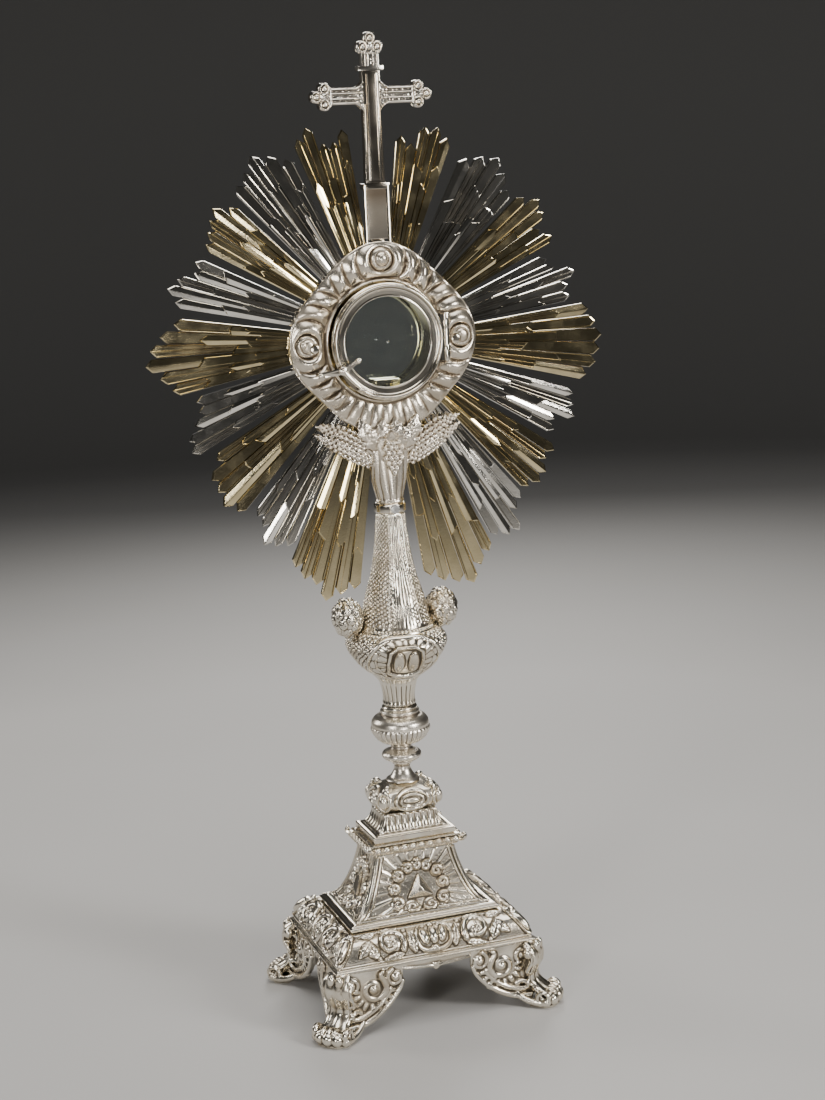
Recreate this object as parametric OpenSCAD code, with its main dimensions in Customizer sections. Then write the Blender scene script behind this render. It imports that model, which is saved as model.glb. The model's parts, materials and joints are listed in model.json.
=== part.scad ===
// Altar monstrance: footed silver base, turned stem, sunburst glory, glazed chamber and cross.
// Millimetres. +Z up, front towards -Y. Origin: centre of the base on the surface it stands on.

/* [Base] */
// Half width of the lower cornice, left to right
base_half_w = 77; // [70:0.5:84]
// Half depth of the lower cornice, front to back
base_half_d = 60; // [54:0.5:66]
// Height of the underside of the lower cornice
cornice_z = 47; // [44:0.5:50]
// Half width of the middle cornice
mid_half_w = 58; // [54:0.5:62]
// Half depth of the middle cornice
mid_half_d = 39; // [36:0.5:42]
// Half width of the beaded plate above the pyramid
plate_half_w = 38.5; // [36:0.5:41]
// Half depth of the beaded plate above the pyramid
plate_half_d = 28; // [26:0.5:30]
// Wall thickness of the raised sheet shells
sheet = 1.6; // [1.2:0.1:2]

/* [Stem] */
// Radius of the threaded tie rod that clamps the stem together
rod_r = 3; // [2.5:0.1:3.2]
// Radial clearance of the tie rod in the pieces it passes through
rod_gap = 0.2; // [0.1:0.05:0.4]
// Largest radius of the knop
knop_r = 21.5; // [19:0.5:24]
// Largest radius of the vase node
vase_r = 37; // [35:0.5:39]

/* [Lunette] */
// Height of the centre of the glazed chamber
eye_z = 489; // [480:1:498]
// Inner radius of the gilt chamber
chamber_r = 33; // [30:0.5:33]
// Outer radius of the front bezel
bezel_r = 40; // [39.5:0.1:40.5]
// Radius of glass that shows inside the bezel
sight_r = 31.5; // [30:0.5:32]
// Mean outer radius of the cloud frame
cloud_r = 65.2; // [64:0.1:66]

/* [Glory] */
// Radius at which the ray fans begin, behind the cloud frame
fan_root_r = 54; // [53:0.5:56]
// Thickness of each of the two layers of rays
ray_layer = 2.2; // [1.8:0.1:2.6]
// How far a ray's pointed end rises above its shoulders
ray_point = 4; // [2:0.5:6]

/* [Cross] */
// Height of the horizontal arms' centre line
arm_z = 657.5; // [650:0.5:662]
// Half width of the arms from tip to tip
arm_half = 44; // [40:0.5:48]
// Total height of the monstrance
total_h = 700; // [695:1:710]

/* [Hidden] */
$fn = 64;
silver = [0.80, 0.79, 0.76];
dull_silver = [0.74, 0.71, 0.68];
gilt = [0.80, 0.68, 0.38];
pale_glass = [0.80, 0.86, 0.86, 0.4];

// Heights of the stacked pieces, from the base upwards
frieze_z = cornice_z + 3.2;
mid_z = 68;
pyramid_z = 73;
plate_z = 117;
plinth_z = 126;
capital_z = 145;
spool_z = 166;
knop_z = 194;
flute_z = 220;
vase_z = 241;
sleeve_z = 281;
collar_z = 366;
socket_z = 373;
socket_top_z = 393;
rod_low_z = 98;
rod_top_z = 383;

// Feet: how far a wing stands in from the cornice's edge, and its length from the corner
wing_in = 3;
wing_len = 48;

// Depths of the glory, measured from its middle plane
frame_back_y = -ray_layer;
frame_face_y = -4.8;
crest_y = -9.5;
flange_t = 1.6;
drum_front_y = -11.8;
drum_back_y = 13.5;
drum_wall = 2;
flange_r = 60;
bezel_front_y = -17.5;
bezel_seat_y = -13.6;
bezel_skirt_y = -8;
rear_lip = 1.5;
glass_t = 1.5;

// Hinge on the right of the bezel, latch on its left
hinge_x = 44;
hinge_y = -12;
hinge_half = 16.5;
knuckle_r = 2.4;
knuckle_half = 5.4;
pin_r = 1;
pin_gap = 0.05;
latch_x = -37;
latch_z = eye_z - 17;
latch_pin_r = 0.9;
lever_y = -21.4;
lever_t = 1.8;
lug_t = 1.8;
stud_x = -51.5;
stud_z = eye_z - 20;
stud_r = 1.1;
stud_gap = 0.3;
leaf_t = 1.6;
screw_x = 52.3;
screw_drop = 2;

globe_x = 36;
globe_z = 292;
globe_a = 11.6;
globe_b = 14.6;
peg_x = 31.5;
peg_r = 2;

// Each fan: name, finish, direction of its two sides in degrees, and the reach of each ray from
// the chamber's centre, counted anticlockwise as seen from the front.
FANS = [
    ["fan_right_1", "gilt", 66.5, 83, [148, 153, 151, 138, 142]],
    ["fan_right_2", "silver", 42.5, 62.5, [141, 148, 154, 148, 141]],
    ["fan_right_3", "gilt", 24.5, 41.5, [148, 142, 151, 154, 146]],
    ["fan_right_4", "silver", 7, 22.5, [147, 147, 155, 140, 137]],
    ["fan_right_5", "gilt", -14.8, 5.8, [161, 167, 169, 170, 165, 160]],
    ["fan_right_6", "silver", -31.5, -17.5, [150, 147, 161, 157, 154]],
    ["fan_right_7", "gilt", -48.3, -33.5, [158, 163, 162, 156, 158]],
    ["fan_right_8", "silver", -62.5, -49.2, [170, 176, 178, 164, 160]],
    ["fan_right_9", "gilt", -82, -63.3, [176, 183, 188, 193, 183, 177]],
    ["fan_left_9", "gilt", -116.5, -98, [172, 178, 180, 190, 184, 179]],
    ["fan_left_8", "silver", -131.5, -117.5, [152, 156, 167, 164, 160]],
    ["fan_left_7", "gilt", -151, -133.5, [145, 156, 158, 162, 158]],
    ["fan_left_6", "silver", -168, -153, [140, 141, 147, 155, 157]],
    ["fan_left_5", "gilt", 170, 190.5, [150, 159, 166, 170, 161, 154]],
    ["fan_left_4", "silver", 153, 167.5, [145, 143, 153, 158, 151]],
    ["fan_left_3", "gilt", 135.5, 150.5, [143, 152, 149, 146, 143]],
    ["fan_left_2", "silver", 114.5, 133.3, [143, 151, 158, 152, 149]],
    ["fan_left_1", "gilt", 97, 112.5, [148, 141, 142, 156, 151]]
];

// A front ray's reach as a part of the ray behind it, repeated along each fan
FRONT_STEPS = [0.74, 0.83, 0.66, 0.79, 0.70, 0.86];

// ---------- shared shapes ----------

function polar(r, a) = [r * cos(a), r * sin(a)];

// Points of an arc about [cx, cy], from angle a0 to a1
function arc(cx, cy, r, a0, a1, n = 8) =
    [for (i = [0:n]) [cx + r * cos(a0 + (a1 - a0) * i / n), cy + r * sin(a0 + (a1 - a0) * i / n)]];

function reversed(p) = [for (i = [len(p) - 1:-1:0]) p[i]];

// A rectangular moulding: its half width follows a profile of [inset, z] points, and its half
// depth follows the same profile with the insets multiplied by k
module moulding(half_w, half_d, profile, k = 1) {
    side = function (half, m) concat(
        [for (p = profile) [half - m * p[0], p[1]]],
        [for (p = reversed(profile)) [m * p[0] - half, p[1]]]);
    intersection() {
        translate([0, half_d + 5, 0])
            rotate([90, 0, 0])
                linear_extrude(2 * half_d + 10)
                    polygon(side(half_w, 1));
        rotate([0, 0, 90])
            translate([0, half_w + 5, 0])
                rotate([90, 0, 0])
                    linear_extrude(2 * half_w + 10)
                        polygon(side(half_d, k));
    }
}

// A moulding with the same moulding, one sheet thinner, taken out of it and open below
module shell_moulding(half_w, half_d, profile, roof, k = 1) {
    low = profile[0][1];
    high = profile[len(profile) - 1][1];
    inner = concat(
        [[profile[0][0], low - 1]],
        [for (p = profile) [p[0], min(p[1], high - roof)]]);
    difference() {
        moulding(half_w, half_d, profile, k);
        moulding(half_w - sheet, half_d - sheet, inner, k);
    }
}

// A turned piece that is hollow between its two ends, on the tie rod
module turned(profile, wall = sheet) {
    bore = rod_r + rod_gap;
    low = profile[0][1];
    high = profile[len(profile) - 1][1];
    inner = [for (p = profile)
        [max(bore, p[0] - wall), max(low + wall, min(high - wall, p[1]))]];
    rotate_extrude()
        polygon(concat([[bore, low]], profile, [[bore, high], [bore, high - wall]],
            reversed(inner), [[bore, low + wall]]));
}

// A disc or ring that faces the front, between two depths
module facing_ring(outer, inner, y0, y1) {
    translate([0, y1, eye_z])
        rotate([90, 0, 0])
            difference() {
                cylinder(r = outer, h = y1 - y0);
                if (inner > 0)
                    translate([0, 0, -1])
                        cylinder(r = inner, h = y1 - y0 + 2);
            }
}

// A cylinder that runs along Y
module y_pin(x, z, r, y0, y1) {
    translate([x, y1, z])
        rotate([90, 0, 0])
            cylinder(r = r, h = y1 - y0, $fn = 32);
}

// A flat outline in the X-Z plane, between two depths
module facing_plate(y0, y1) {
    translate([0, y1, 0])
        rotate([90, 0, 0])
            linear_extrude(y1 - y0)
                children();
}

// ---------- base ----------

// Outline of a foot's wing: along the side from the corner, and up to the cornice
FOOT_WING = [[0, cornice_z], [wing_len, cornice_z], [wing_len, 38], [46, 31], [39, 24], [30, 17],
    [18, 11], [8, 8], [0, 8]];

// Side view of a scroll foot: out from the corner and up from the floor
function foot_profile() = concat(
    [[-15, cornice_z], [1, cornice_z]],
    arc(-2, 37, 9, 35, -20, 5),
    arc(12, 24, 9.5, 160, 230, 6),
    arc(16.5, 9, 6.5, 100, -55, 8),
    [[19, 0], [5, 0]],
    arc(-16, 8, 20, -15, 62, 6),
    [[-15, 32]]);

// One cast foot on the corner in the direction [sx, sy], with a wing along each side
module foot(sx, sy) {
    wing_t = 3.2;
    foot_w = 20;
    color(silver)
        scale([sx, sy, 1])
            union() {
                translate([base_half_w - 4, base_half_d - 3, 0])
                    rotate([0, 0, 41])
                        translate([0, foot_w / 2, 0])
                            rotate([90, 0, 0])
                                linear_extrude(foot_w)
                                    polygon(foot_profile());
                translate([base_half_w - wing_in, base_half_d - wing_in, 0])
                    rotate([90, 0, 0])
                        linear_extrude(wing_t)
                            polygon([for (p = FOOT_WING) [-p[0], p[1]]]);
                translate([base_half_w - wing_in - wing_t, base_half_d - wing_in, 0])
                    rotate([90, 0, 90])
                        linear_extrude(wing_t)
                            polygon([for (p = FOOT_WING) [-p[0], p[1]]]);
            }
}

module foot_front_left() foot(-1, -1);
module foot_front_right() foot(1, -1);
module foot_rear_left() foot(-1, 1);
module foot_rear_right() foot(1, 1);

// Half of the apron's outline: it hangs between the feet and dips to a point at its centre
function apron_half(half) =
    [for (i = [0:8]) [half * i / 8, 40 + 2 * pow(i / 8, 2) - (i == 0 ? 2.5 : 0)]];

// Moulded rim of the base, with the four apron panels that hang from it
module lower_cornice() {
    rim = [[2.6, cornice_z], [0.3, cornice_z + 0.7], [0, cornice_z + 1.7], [0.8, cornice_z + 2.6],
        [2.6, frieze_z]];
    bar = 8;
    apron_w = base_half_w - wing_in - wing_len;
    apron_d = base_half_d - wing_in - wing_len;
    apron_t = 2.4;
    color(silver)
        union() {
            difference() {
                moulding(base_half_w, base_half_d, rim);
                translate([0, 0, cornice_z + 3])
                    cube([2 * (base_half_w - bar), 2 * (base_half_d - bar), 10], center = true);
            }
            for (s = [-1, 1]) {
                translate([0, s * (base_half_d - 5), 0])
                    facing_plate(-apron_t / 2, apron_t / 2)
                        polygon(concat([[apron_w, cornice_z + 1], [-apron_w, cornice_z + 1]],
                            [for (p = reversed(apron_half(apron_w))) [-p[0], p[1]]],
                            apron_half(apron_w)));
                translate([s * (base_half_w - 5), 0, 0])
                    rotate([0, 0, 90])
                        facing_plate(-apron_t / 2, apron_t / 2)
                            polygon(concat([[apron_d, cornice_z + 1], [-apron_d, cornice_z + 1]],
                                [for (p = reversed(apron_half(apron_d))) [-p[0], p[1]]],
                                apron_half(apron_d)));
            }
        }
}

// Raised frieze of the lower tier: a bulging rectangular shell
module base_frieze() {
    rise = mid_z - frieze_z;
    color(silver)
        difference() {
            shell_moulding(base_half_w - 3, base_half_d - 3,
                [for (i = [0:6]) [16 * (1 - cos(i * 15)), frieze_z + rise * sin(i * 15)]], 1.4);
            translate([0, 0, mid_z])
                cube([2 * (mid_half_w - 12), 2 * (mid_half_d - 11), 10], center = true);
        }
}

// Plain moulding between the frieze and the pyramid
module middle_cornice() {
    rim = [[2.5, mid_z], [0, mid_z + 1.5], [0, mid_z + 3.5], [4, pyramid_z]];
    color(silver)
        difference() {
            moulding(mid_half_w, mid_half_d, rim);
            translate([0, 0, mid_z])
                cube([2 * (mid_half_w - 12), 2 * (mid_half_d - 11), 30], center = true);
        }
}

// Concave four-sided pyramid with a flat top for the stem
module pyramid_shell() {
    color(silver)
        difference() {
            shell_moulding(mid_half_w - 6, mid_half_d - 5,
                [for (i = [0:8]) [22 * sin(i * 90 / 8) * (1 - 0.12 * sin(i * 180 / 8)),
                    pyramid_z + (plate_z - pyramid_z) * (1 - cos(i * 90 / 8) * (1 - i / 40))]],
                2.5, 0.64);
            translate([0, 0, plate_z - 10])
                cylinder(r = rod_r + rod_gap, h = 20);
        }
}

// Beaded plate with a lipped edge that crowns the pyramid
module beaded_plate() {
    rim = [[8, plate_z], [2.5, plate_z + 2], [0, plate_z + 3.5], [0, plate_z + 6],
        [3, plate_z + 7.5], [5.5, plinth_z]];
    color(silver)
        difference() {
            moulding(plate_half_w, plate_half_d, rim);
            translate([0, 0, plate_z - 1])
                cylinder(r = rod_r + rod_gap, h = plinth_z - plate_z + 2);
        }
}

// Thin square plate and the fluted cavetto that narrows up to the capital
module fluted_plinth() {
    edge = 5;
    rim = concat([[0, plinth_z + 1], [0, plinth_z + edge], [3, plinth_z + edge]],
        [for (i = [0:6]) [3 + 8 * sin(i * 15), capital_z - 14 * cos(i * 15)]]);
    color(silver)
        difference() {
            moulding(plate_half_w - 7, plate_half_d - 5.5, concat([[2, plinth_z]], rim), 0.68);
            translate([0, 0, plinth_z - 1])
                cylinder(r = rod_r + rod_gap, h = capital_z - plinth_z + 2);
        }
}

// Block with rounded sides that carries the oval cabochons
module capital_block() {
    mid = (capital_z + spool_z) / 2;
    half = (spool_z - capital_z) / 2;
    color(silver)
        difference() {
            union() {
                moulding(23.5, 18.5,
                    [for (i = [-5:5]) [5.5 * (1 - cos(i * 17)), mid + half * i / 5]]);
                for (s = [-1, 1])
                    intersection() {
                        translate([0, s * 5, mid])
                            rotate([90, 0, 0])
                                cylinder(r = 9.5, h = 30, center = true);
                        translate([0, s * 15, mid])
                            cube([15, 10, 11], center = true);
                    }
            }
            translate([0, 0, capital_z - 1])
                cylinder(r = rod_r + rod_gap, h = spool_z - capital_z + 2);
        }
}

// ---------- stem ----------

module tie_rod() {
    color(dull_silver)
        translate([0, 0, rod_low_z])
            cylinder(r = rod_r, h = rod_top_z - rod_low_z);
}

// Flanged hexagon nut under the pyramid's roof
module rod_nut() {
    roof_z = plate_z - 2.5;
    nut_h = 6;
    color(dull_silver)
        difference() {
            union() {
                translate([0, 0, roof_z - nut_h])
                    cylinder(r = 6.5, h = nut_h, $fn = 6);
                translate([0, 0, roof_z - 1.6])
                    cylinder(r = 11, h = 1.6);
            }
            translate([0, 0, roof_z - nut_h - 1])
                cylinder(r = rod_r + pin_gap, h = nut_h + 2);
        }
}

// Trumpet neck, disc and short waist turned in one
module lower_spool() {
    color(silver)
        turned(concat([[11, spool_z]], arc(15.5, spool_z + 7.5, 8.5, 225, 175, 4),
            [[7.4, spool_z + 12]], arc(11, spool_z + 18.5, 3.6, -70, 70, 6),
            [[8.2, spool_z + 24], [7.6, spool_z + 26], [8.6, knop_z]]));
}

module knop() {
    color(silver)
        turned(concat([[8.6, knop_z]],
            [for (i = [0:7]) let (a = -70 + i * 15)
                [knop_r - 12.5 + 12.5 * cos(a), knop_z + 14.5 + (a < 0 ? 14 : 7) * sin(a)]],
            [[15.2, flute_z - 3.6], [14.4, flute_z - 2.6], [14.6, flute_z - 1.2], [12.4, flute_z]]));
}

module fluted_neck() {
    color(silver)
        turned([[12.4, flute_z], [12.8, flute_z + 1.5], [11.6, flute_z + 3], [10.8, flute_z + 9],
            [11.2, flute_z + 15], [12.4, flute_z + 19], [12.4, vase_z]]);
}

// Wide bowl of the stem, with a blind hole each side for the globes' pegs
module vase_node() {
    color(silver)
        difference() {
            turned([[12.4, vase_z], [13.2, vase_z + 2], [18.4, vase_z + 6.5], [27.4, vase_z + 14.5],
                [vase_r - 4.6, vase_z + 20.5], [vase_r - 1.3, vase_z + 25.5], [vase_r, vase_z + 29.3],
                [vase_r - 0.6, vase_z + 32], [vase_r - 2.6, vase_z + 35], [vase_r - 5.8, vase_z + 38],
                [28.2, sleeve_z]], wall = 2);
            for (s = [-1, 1])
                translate([s * peg_x, 0, sleeve_z - 12])
                    cylinder(r = peg_r + rod_gap, h = 15);
        }
}

// Chased globe with the peg that sets it on the vase's shoulder
module globe(s) {
    color(dull_silver)
        union() {
            translate([s * globe_x, 0, globe_z])
                rotate([0, s * 90, 0])
                    rotate_extrude()
                        polygon([for (i = [-10:10]) [globe_b * cos(i * 9), globe_a * sin(i * 9)]]);
            translate([s * peg_x, 0, sleeve_z - 11])
                cylinder(r = peg_r, h = 10.5);
        }
}

module globe_left() globe(-1);
module globe_right() globe(1);

// Tall leaf-chased sleeve, with its lower row of beads drawn as one rounded rim
module cone_sleeve() {
    color(silver)
        turned([[27.8, sleeve_z], [27.4, sleeve_z + 1.2], [26.2, sleeve_z + 2.8],
            [24.4, sleeve_z + 6], [23, sleeve_z + 13], [21.6, sleeve_z + 21], [19, sleeve_z + 30],
            [16, sleeve_z + 40], [13.6, sleeve_z + 52], [11.9, sleeve_z + 63], [10.6, sleeve_z + 75],
            [9.8, collar_z]]);
}

// Ring with a spot face for its screw
module upper_collar() {
    r = 11.5;
    h = socket_z - collar_z;
    color(silver)
        difference() {
            rotate_extrude()
                polygon([[rod_r + rod_gap, collar_z], [r - 1.2, collar_z], [r, collar_z + 1.2],
                    [r, collar_z + h - 1.2], [r - 1.2, socket_z], [rod_r + rod_gap, socket_z]]);
            y_pin(0, collar_z + h / 2, 3.45, -20, -10.6);
            y_pin(0, collar_z + h / 2, 1.6, -12, -5);
        }
}

module collar_screw() {
    z = (collar_z + socket_z) / 2;
    color([0.55, 0.57, 0.56])
        union() {
            y_pin(0, z, 3.2, -13, -10.6);
            y_pin(0, z, 1.5, -11, -6);
        }
}

// ---------- socket and harvest ornament ----------

// Flared socket on the tie rod's end, with the tang that holds the glory's flange
module flared_socket() {
    tang_top_z = eye_z - 37;
    color(silver)
        union() {
            rotate_extrude()
                polygon([[rod_r + rod_gap, socket_z], [9.8, socket_z], [10.4, socket_z + 4],
                    [12, socket_z + 11], [12.4, socket_top_z - 3], [9, socket_top_z],
                    [0, socket_top_z], [0, rod_top_z + 1], [rod_r + rod_gap, rod_top_z + 1]]);
            translate([-5.5, -ray_layer, socket_top_z - 3])
                cube([11, 2 * ray_layer, tang_top_z - socket_top_z + 3]);
            facing_plate(-8, -ray_layer - 0.3)
                polygon([[-9, socket_top_z - 6], [9, socket_top_z - 6], [14, 402], [13, 412],
                    [-13, 412], [-14, 402]]);
            translate([0, 0, socket_top_z + 8])
                cube([9, 10, 6], center = true);
        }
}

// Half outline of an ear of wheat that lies along X
function ear(length, half_w) =
    [for (i = [0:10]) [length * i / 10, half_w * sin(180 * pow(i / 10, 0.8)) + 0.8 * (1 - i / 10)]];

// Sheaf of three ears that fan out from the socket towards one side
module wheat(s) {
    ears = [[30, 44, 4.6], [38, 53, 5.4], [51, 47, 5.6]];
    color(dull_silver)
        scale([s, 1, 1])
            intersection() {
                facing_plate(-11, frame_face_y - 0.4)
                    union()
                        for (e = ears)
                            translate([14.5, 401])
                                rotate(e[0])
                                    polygon(concat(ear(e[1], e[2]),
                                        [for (p = reversed(ear(e[1], e[2]))) [p[0], -p[1]]]));
                difference() {
                    translate([14.4, -30, 380])
                        cube([60, 60, 80]);
                    facing_ring(cloud_r - 1, 0, -31, 31);
                }
            }
}

module wheat_left() wheat(-1);
module wheat_right() wheat(1);

// Bunch of grapes under two vine leaves, in front of the socket
module grape_cluster() {
    rows = [[0, 397], [-4.2, 402], [4.2, 402], [-8, 407.5], [0, 407.5], [8, 407.5]];
    color(dull_silver)
        union() {
            facing_plate(-11, -8.1)
                polygon([[0, 393.4], [10, 403], [14.2, 412], [14.2, 424], [8, 430], [-8, 430],
                    [-14.2, 424], [-14.2, 412], [-10, 403]]);
            for (g = rows)
                translate([g[0], -11.6, g[1]])
                    sphere(r = 3.4, $fn = 24);
        }
}

// ---------- glory ----------

function fan_edges(f) = let (n = len(f[4])) [for (i = [0:n]) f[2] + (f[3] - f[2]) * i / n];

// Outline of a layer of rays: one pointed end for each reach, and a round root
function fan_outline(edges, reach) = concat(
    [for (i = [0:len(reach) - 1])
        each [polar(reach[i] - ray_point, edges[i] + 0.15),
            polar(reach[i], (edges[i] + edges[i + 1]) / 2),
            polar(reach[i] - ray_point, edges[i + 1] - 0.15)]],
    [for (i = [4:-1:0])
        polar(fan_root_r, edges[0] + (edges[len(edges) - 1] - edges[0]) * i / 4)]);

// The front layer's rays lie over the joints of the back layer's
function front_edges(edges) =
    [for (i = [0:len(edges) - 1])
        i == 0 ? edges[0] : (i == len(edges) - 1 ? edges[i] : edges[i] + (i % 2 == 0 ? 0.5 : -0.5))];

module fan(f) {
    edges = fan_edges(f);
    reach = f[4];
    front = [for (i = [0:len(reach) - 1]) reach[i] * FRONT_STEPS[(i + len(reach)) % 6]];
    color(f[1] == "gilt" ? gilt : silver)
        translate([0, 0, eye_z])
            union() {
                facing_plate(0, ray_layer)
                    polygon(fan_outline(edges, reach));
                facing_plate(-ray_layer, 0)
                    polygon(fan_outline(front_edges(edges), front));
            }
}

// ---------- glazed chamber ----------

// Gilt drum with the flange that the ray fans are riveted to
module chamber_drum() {
    color(gilt)
        union() {
            facing_ring(chamber_r + drum_wall, chamber_r, drum_front_y, drum_back_y);
            difference() {
                facing_ring(flange_r, chamber_r + drum_wall - 0.5, ray_layer, ray_layer + flange_t);
                for (s = [-1, 1])
                    y_pin(s * screw_x, eye_z - screw_drop, 1.4, -1, 10);
            }
        }
}

// Grooved rail along the chamber's floor, where the host's holder slides in
module lunette_rail() {
    rail_half = 9;
    color(gilt)
        intersection() {
            facing_ring(chamber_r - 0.05, 0, -9, 9);
            translate([0, 0, eye_z - chamber_r + 3])
                difference() {
                    cube([2 * rail_half, 16, 6], center = true);
                    translate([0, 0, 2])
                        cube([2 * rail_half + 2, 3, 4], center = true);
                }
        }
}

// Rear rim that holds the back glass on the drum
module rear_bezel() {
    color(gilt)
        union() {
            facing_ring(chamber_r + drum_wall + 2.5, sight_r, drum_back_y, drum_back_y + rear_lip);
            facing_ring(chamber_r + drum_wall + 2.5, chamber_r + drum_wall + 0.1,
                drum_back_y - 4, drum_back_y + 0.5);
        }
}

module rear_glass() {
    color(pale_glass)
        facing_ring(chamber_r - 0.1, 0, drum_back_y - glass_t, drum_back_y);
}

// ---------- cloud frame ----------

function cloud_outline() =
    [for (i = [0:71]) polar(cloud_r + 3.8 * cos(20 * i) - (i > 48 && i < 60 ? 3 * sin(15 * (i - 48)) : 0),
        5 * i)];

// Pressed frame of clouds round the chamber, with a boss at the left, the right and the top
module cloud_frame() {
    hole_r = bezel_r + 1.5;
    color(dull_silver)
        difference() {
            union() {
                translate([0, 0, eye_z])
                    facing_plate(frame_face_y, frame_back_y)
                        polygon(cloud_outline());
                intersection() {
                    for (a = [0, 90, 180])
                        translate([57 * cos(a), -0.5, eye_z + 57 * sin(a)])
                            sphere(r = -crest_y);
                    facing_ring(cloud_r + 2, 0, -20, frame_face_y + 0.5);
                }
                for (a = [22, 45, 68, 112, 135, 158, 202, 225, 315, 338])
                    translate([54 * cos(a), 1, eye_z + 54 * sin(a)])
                        intersection() {
                            sphere(r = 9);
                            translate([0, -9.5, 0])
                                cube([20, 10, 20], center = true);
                        }
            }
            facing_ring(hole_r, 0, -30, 10);
            translate([hinge_x - 3, -20, eye_z - hinge_half - 0.5])
                cube([7.5, 20 + frame_face_y, 2 * hinge_half + 1]);
            for (s = [-1, 1]) {
                y_pin(s * screw_x, eye_z - screw_drop, 1.4, -20, 5);
                y_pin(s * screw_x, eye_z - screw_drop, 3.2, -20, frame_face_y - 1.2);
            }
            y_pin(stud_x, stud_z, stud_r, -20, 5);
        }
}

// Two screws that draw the cloud frame and the flange together
module frame_screws() {
    color(silver)
        for (s = [-1, 1])
            union() {
                y_pin(s * screw_x, eye_z - screw_drop, 2.9, crest_y, frame_face_y - 1.2);
                y_pin(s * screw_x, eye_z - screw_drop, 1.25, frame_face_y - 2, 6);
            }
}

// Round stud that the latch drops over
module latch_stud() {
    color(silver)
        y_pin(stud_x, stud_z, stud_r, lever_y - 0.8, frame_back_y);
}

// ---------- hinge, door and latch ----------

module knuckle(z0, z1) {
    translate([hinge_x, hinge_y, eye_z + z0])
        cylinder(r = knuckle_r, h = z1 - z0, $fn = 32);
}

module hinge_bore() {
    translate([hinge_x, hinge_y, eye_z - 25])
        cylinder(r = pin_r + pin_gap, h = 50, $fn = 32);
}

// Fixed leaf with the upper and lower knuckles, soldered to the cloud frame
module hinge_leaf() {
    arm = hinge_half - knuckle_half - 0.3;
    leaf_y = frame_face_y - leaf_t;
    color(silver)
        difference() {
            union() {
                translate([hinge_x - 1.8, leaf_y, eye_z - hinge_half])
                    cube([6, leaf_t, 2 * hinge_half]);
                for (s = [-1, 1]) {
                    translate([hinge_x - 1.2, hinge_y, eye_z + s * (hinge_half - arm / 2) - arm / 2])
                        cube([2.4, leaf_y + 0.2 - hinge_y, arm]);
                    translate([0, 0, s * (hinge_half - arm / 2)])
                        knuckle(-arm / 2, arm / 2);
                }
            }
            hinge_bore();
        }
}

module hinge_pin() {
    color(silver)
        translate([hinge_x, hinge_y, eye_z - hinge_half - 0.8])
            cylinder(r = pin_r, h = 2 * hinge_half + 1.6, $fn = 32);
}

// Radius and depth round the bezel: its rim, the dished lip, the seat of the glass and the skirt
function bezel_profile() = [[bezel_r, bezel_skirt_y], [bezel_r, bezel_front_y + 0.8],
    [bezel_r - 0.8, bezel_front_y], [bezel_r - 1.8, bezel_front_y + 0.3],
    [bezel_r - 2.4, bezel_front_y + 1.7], [sight_r, bezel_seat_y - 1], [sight_r, bezel_seat_y],
    [chamber_r + 3.6, bezel_seat_y], [chamber_r + 3.6, bezel_skirt_y]];

// Front bezel with its hinge knuckle on the right and the latch lug on the left
module door_bezel() {
    color(silver)
        difference() {
            union() {
                translate([0, 0, eye_z])
                    rotate([90, 0, 0])
                        rotate_extrude()
                            polygon([for (p = bezel_profile()) [p[0], -p[1]]]);
                translate([bezel_r - 1.2, hinge_y - 1, eye_z - knuckle_half])
                    cube([hinge_x - bezel_r + 1.2, 2, 2 * knuckle_half]);
                knuckle(-knuckle_half, knuckle_half);
                facing_plate(bezel_front_y - lug_t, bezel_front_y + 2.1)
                    polygon(concat(
                        [for (i = [0:6]) [0, eye_z] + polar(bezel_r + 1.2, 201 + 5 * i)],
                        [for (i = [6:-1:0]) [0, eye_z] + polar(bezel_r - 3.2, 201 + 5 * i)]));
            }
            hinge_bore();
            y_pin(latch_x, latch_z, latch_pin_r + pin_gap, -30, -10);
        }
}

module door_glass() {
    color(pale_glass)
        facing_ring(chamber_r + 3.5, 0, bezel_seat_y, bezel_seat_y + glass_t);
}

// Shouldered rivet that the latch lever swings on
module latch_rivet() {
    color(silver)
        union() {
            y_pin(latch_x, latch_z, latch_pin_r, lever_y - lever_t - 0.2, bezel_front_y + 1.2);
            y_pin(latch_x, latch_z, 2.2, lever_y + 0.2, bezel_front_y - lug_t);
            y_pin(latch_x, latch_z, 1.7, lever_y - lever_t - 1.1, lever_y - lever_t - 0.1);
        }
}

// Latch lever: a hook over the stud at one end, a round finger tab at the other
module latch_lever() {
    hook_r = stud_r + stud_gap;
    y1 = lever_y + 0.1;
    y0 = lever_y - lever_t;
    color(silver)
        difference() {
            union() {
                facing_plate(y0 + 0.1, y1)
                    polygon([[stud_x - 3, stud_z + 3.2], [stud_x + 3.4, stud_z + 3.4],
                        [latch_x - 1, latch_z + 2.2], [latch_x + 10, latch_z + 6.6],
                        [latch_x + 11, latch_z + 4.4], [latch_x + 1, latch_z - 2.2],
                        [stud_x + 3.4, stud_z - 0.6], [stud_x - 3, stud_z - 1.2]]);
                y_pin(latch_x, latch_z, 2.7, y0 + 0.1, y1);
                translate([latch_x + 11.5, (y0 + y1) / 2, latch_z + 6])
                    sphere(r = 2.1, $fn = 32);
            }
            y_pin(latch_x, latch_z, latch_pin_r + pin_gap, -40, 0);
            y_pin(stud_x, stud_z, hook_r, -40, 0);
            translate([stud_x - hook_r, -40, stud_z - 10])
                cube([2 * hook_r, 40, 10]);
        }
}

// ---------- cross ----------

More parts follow.
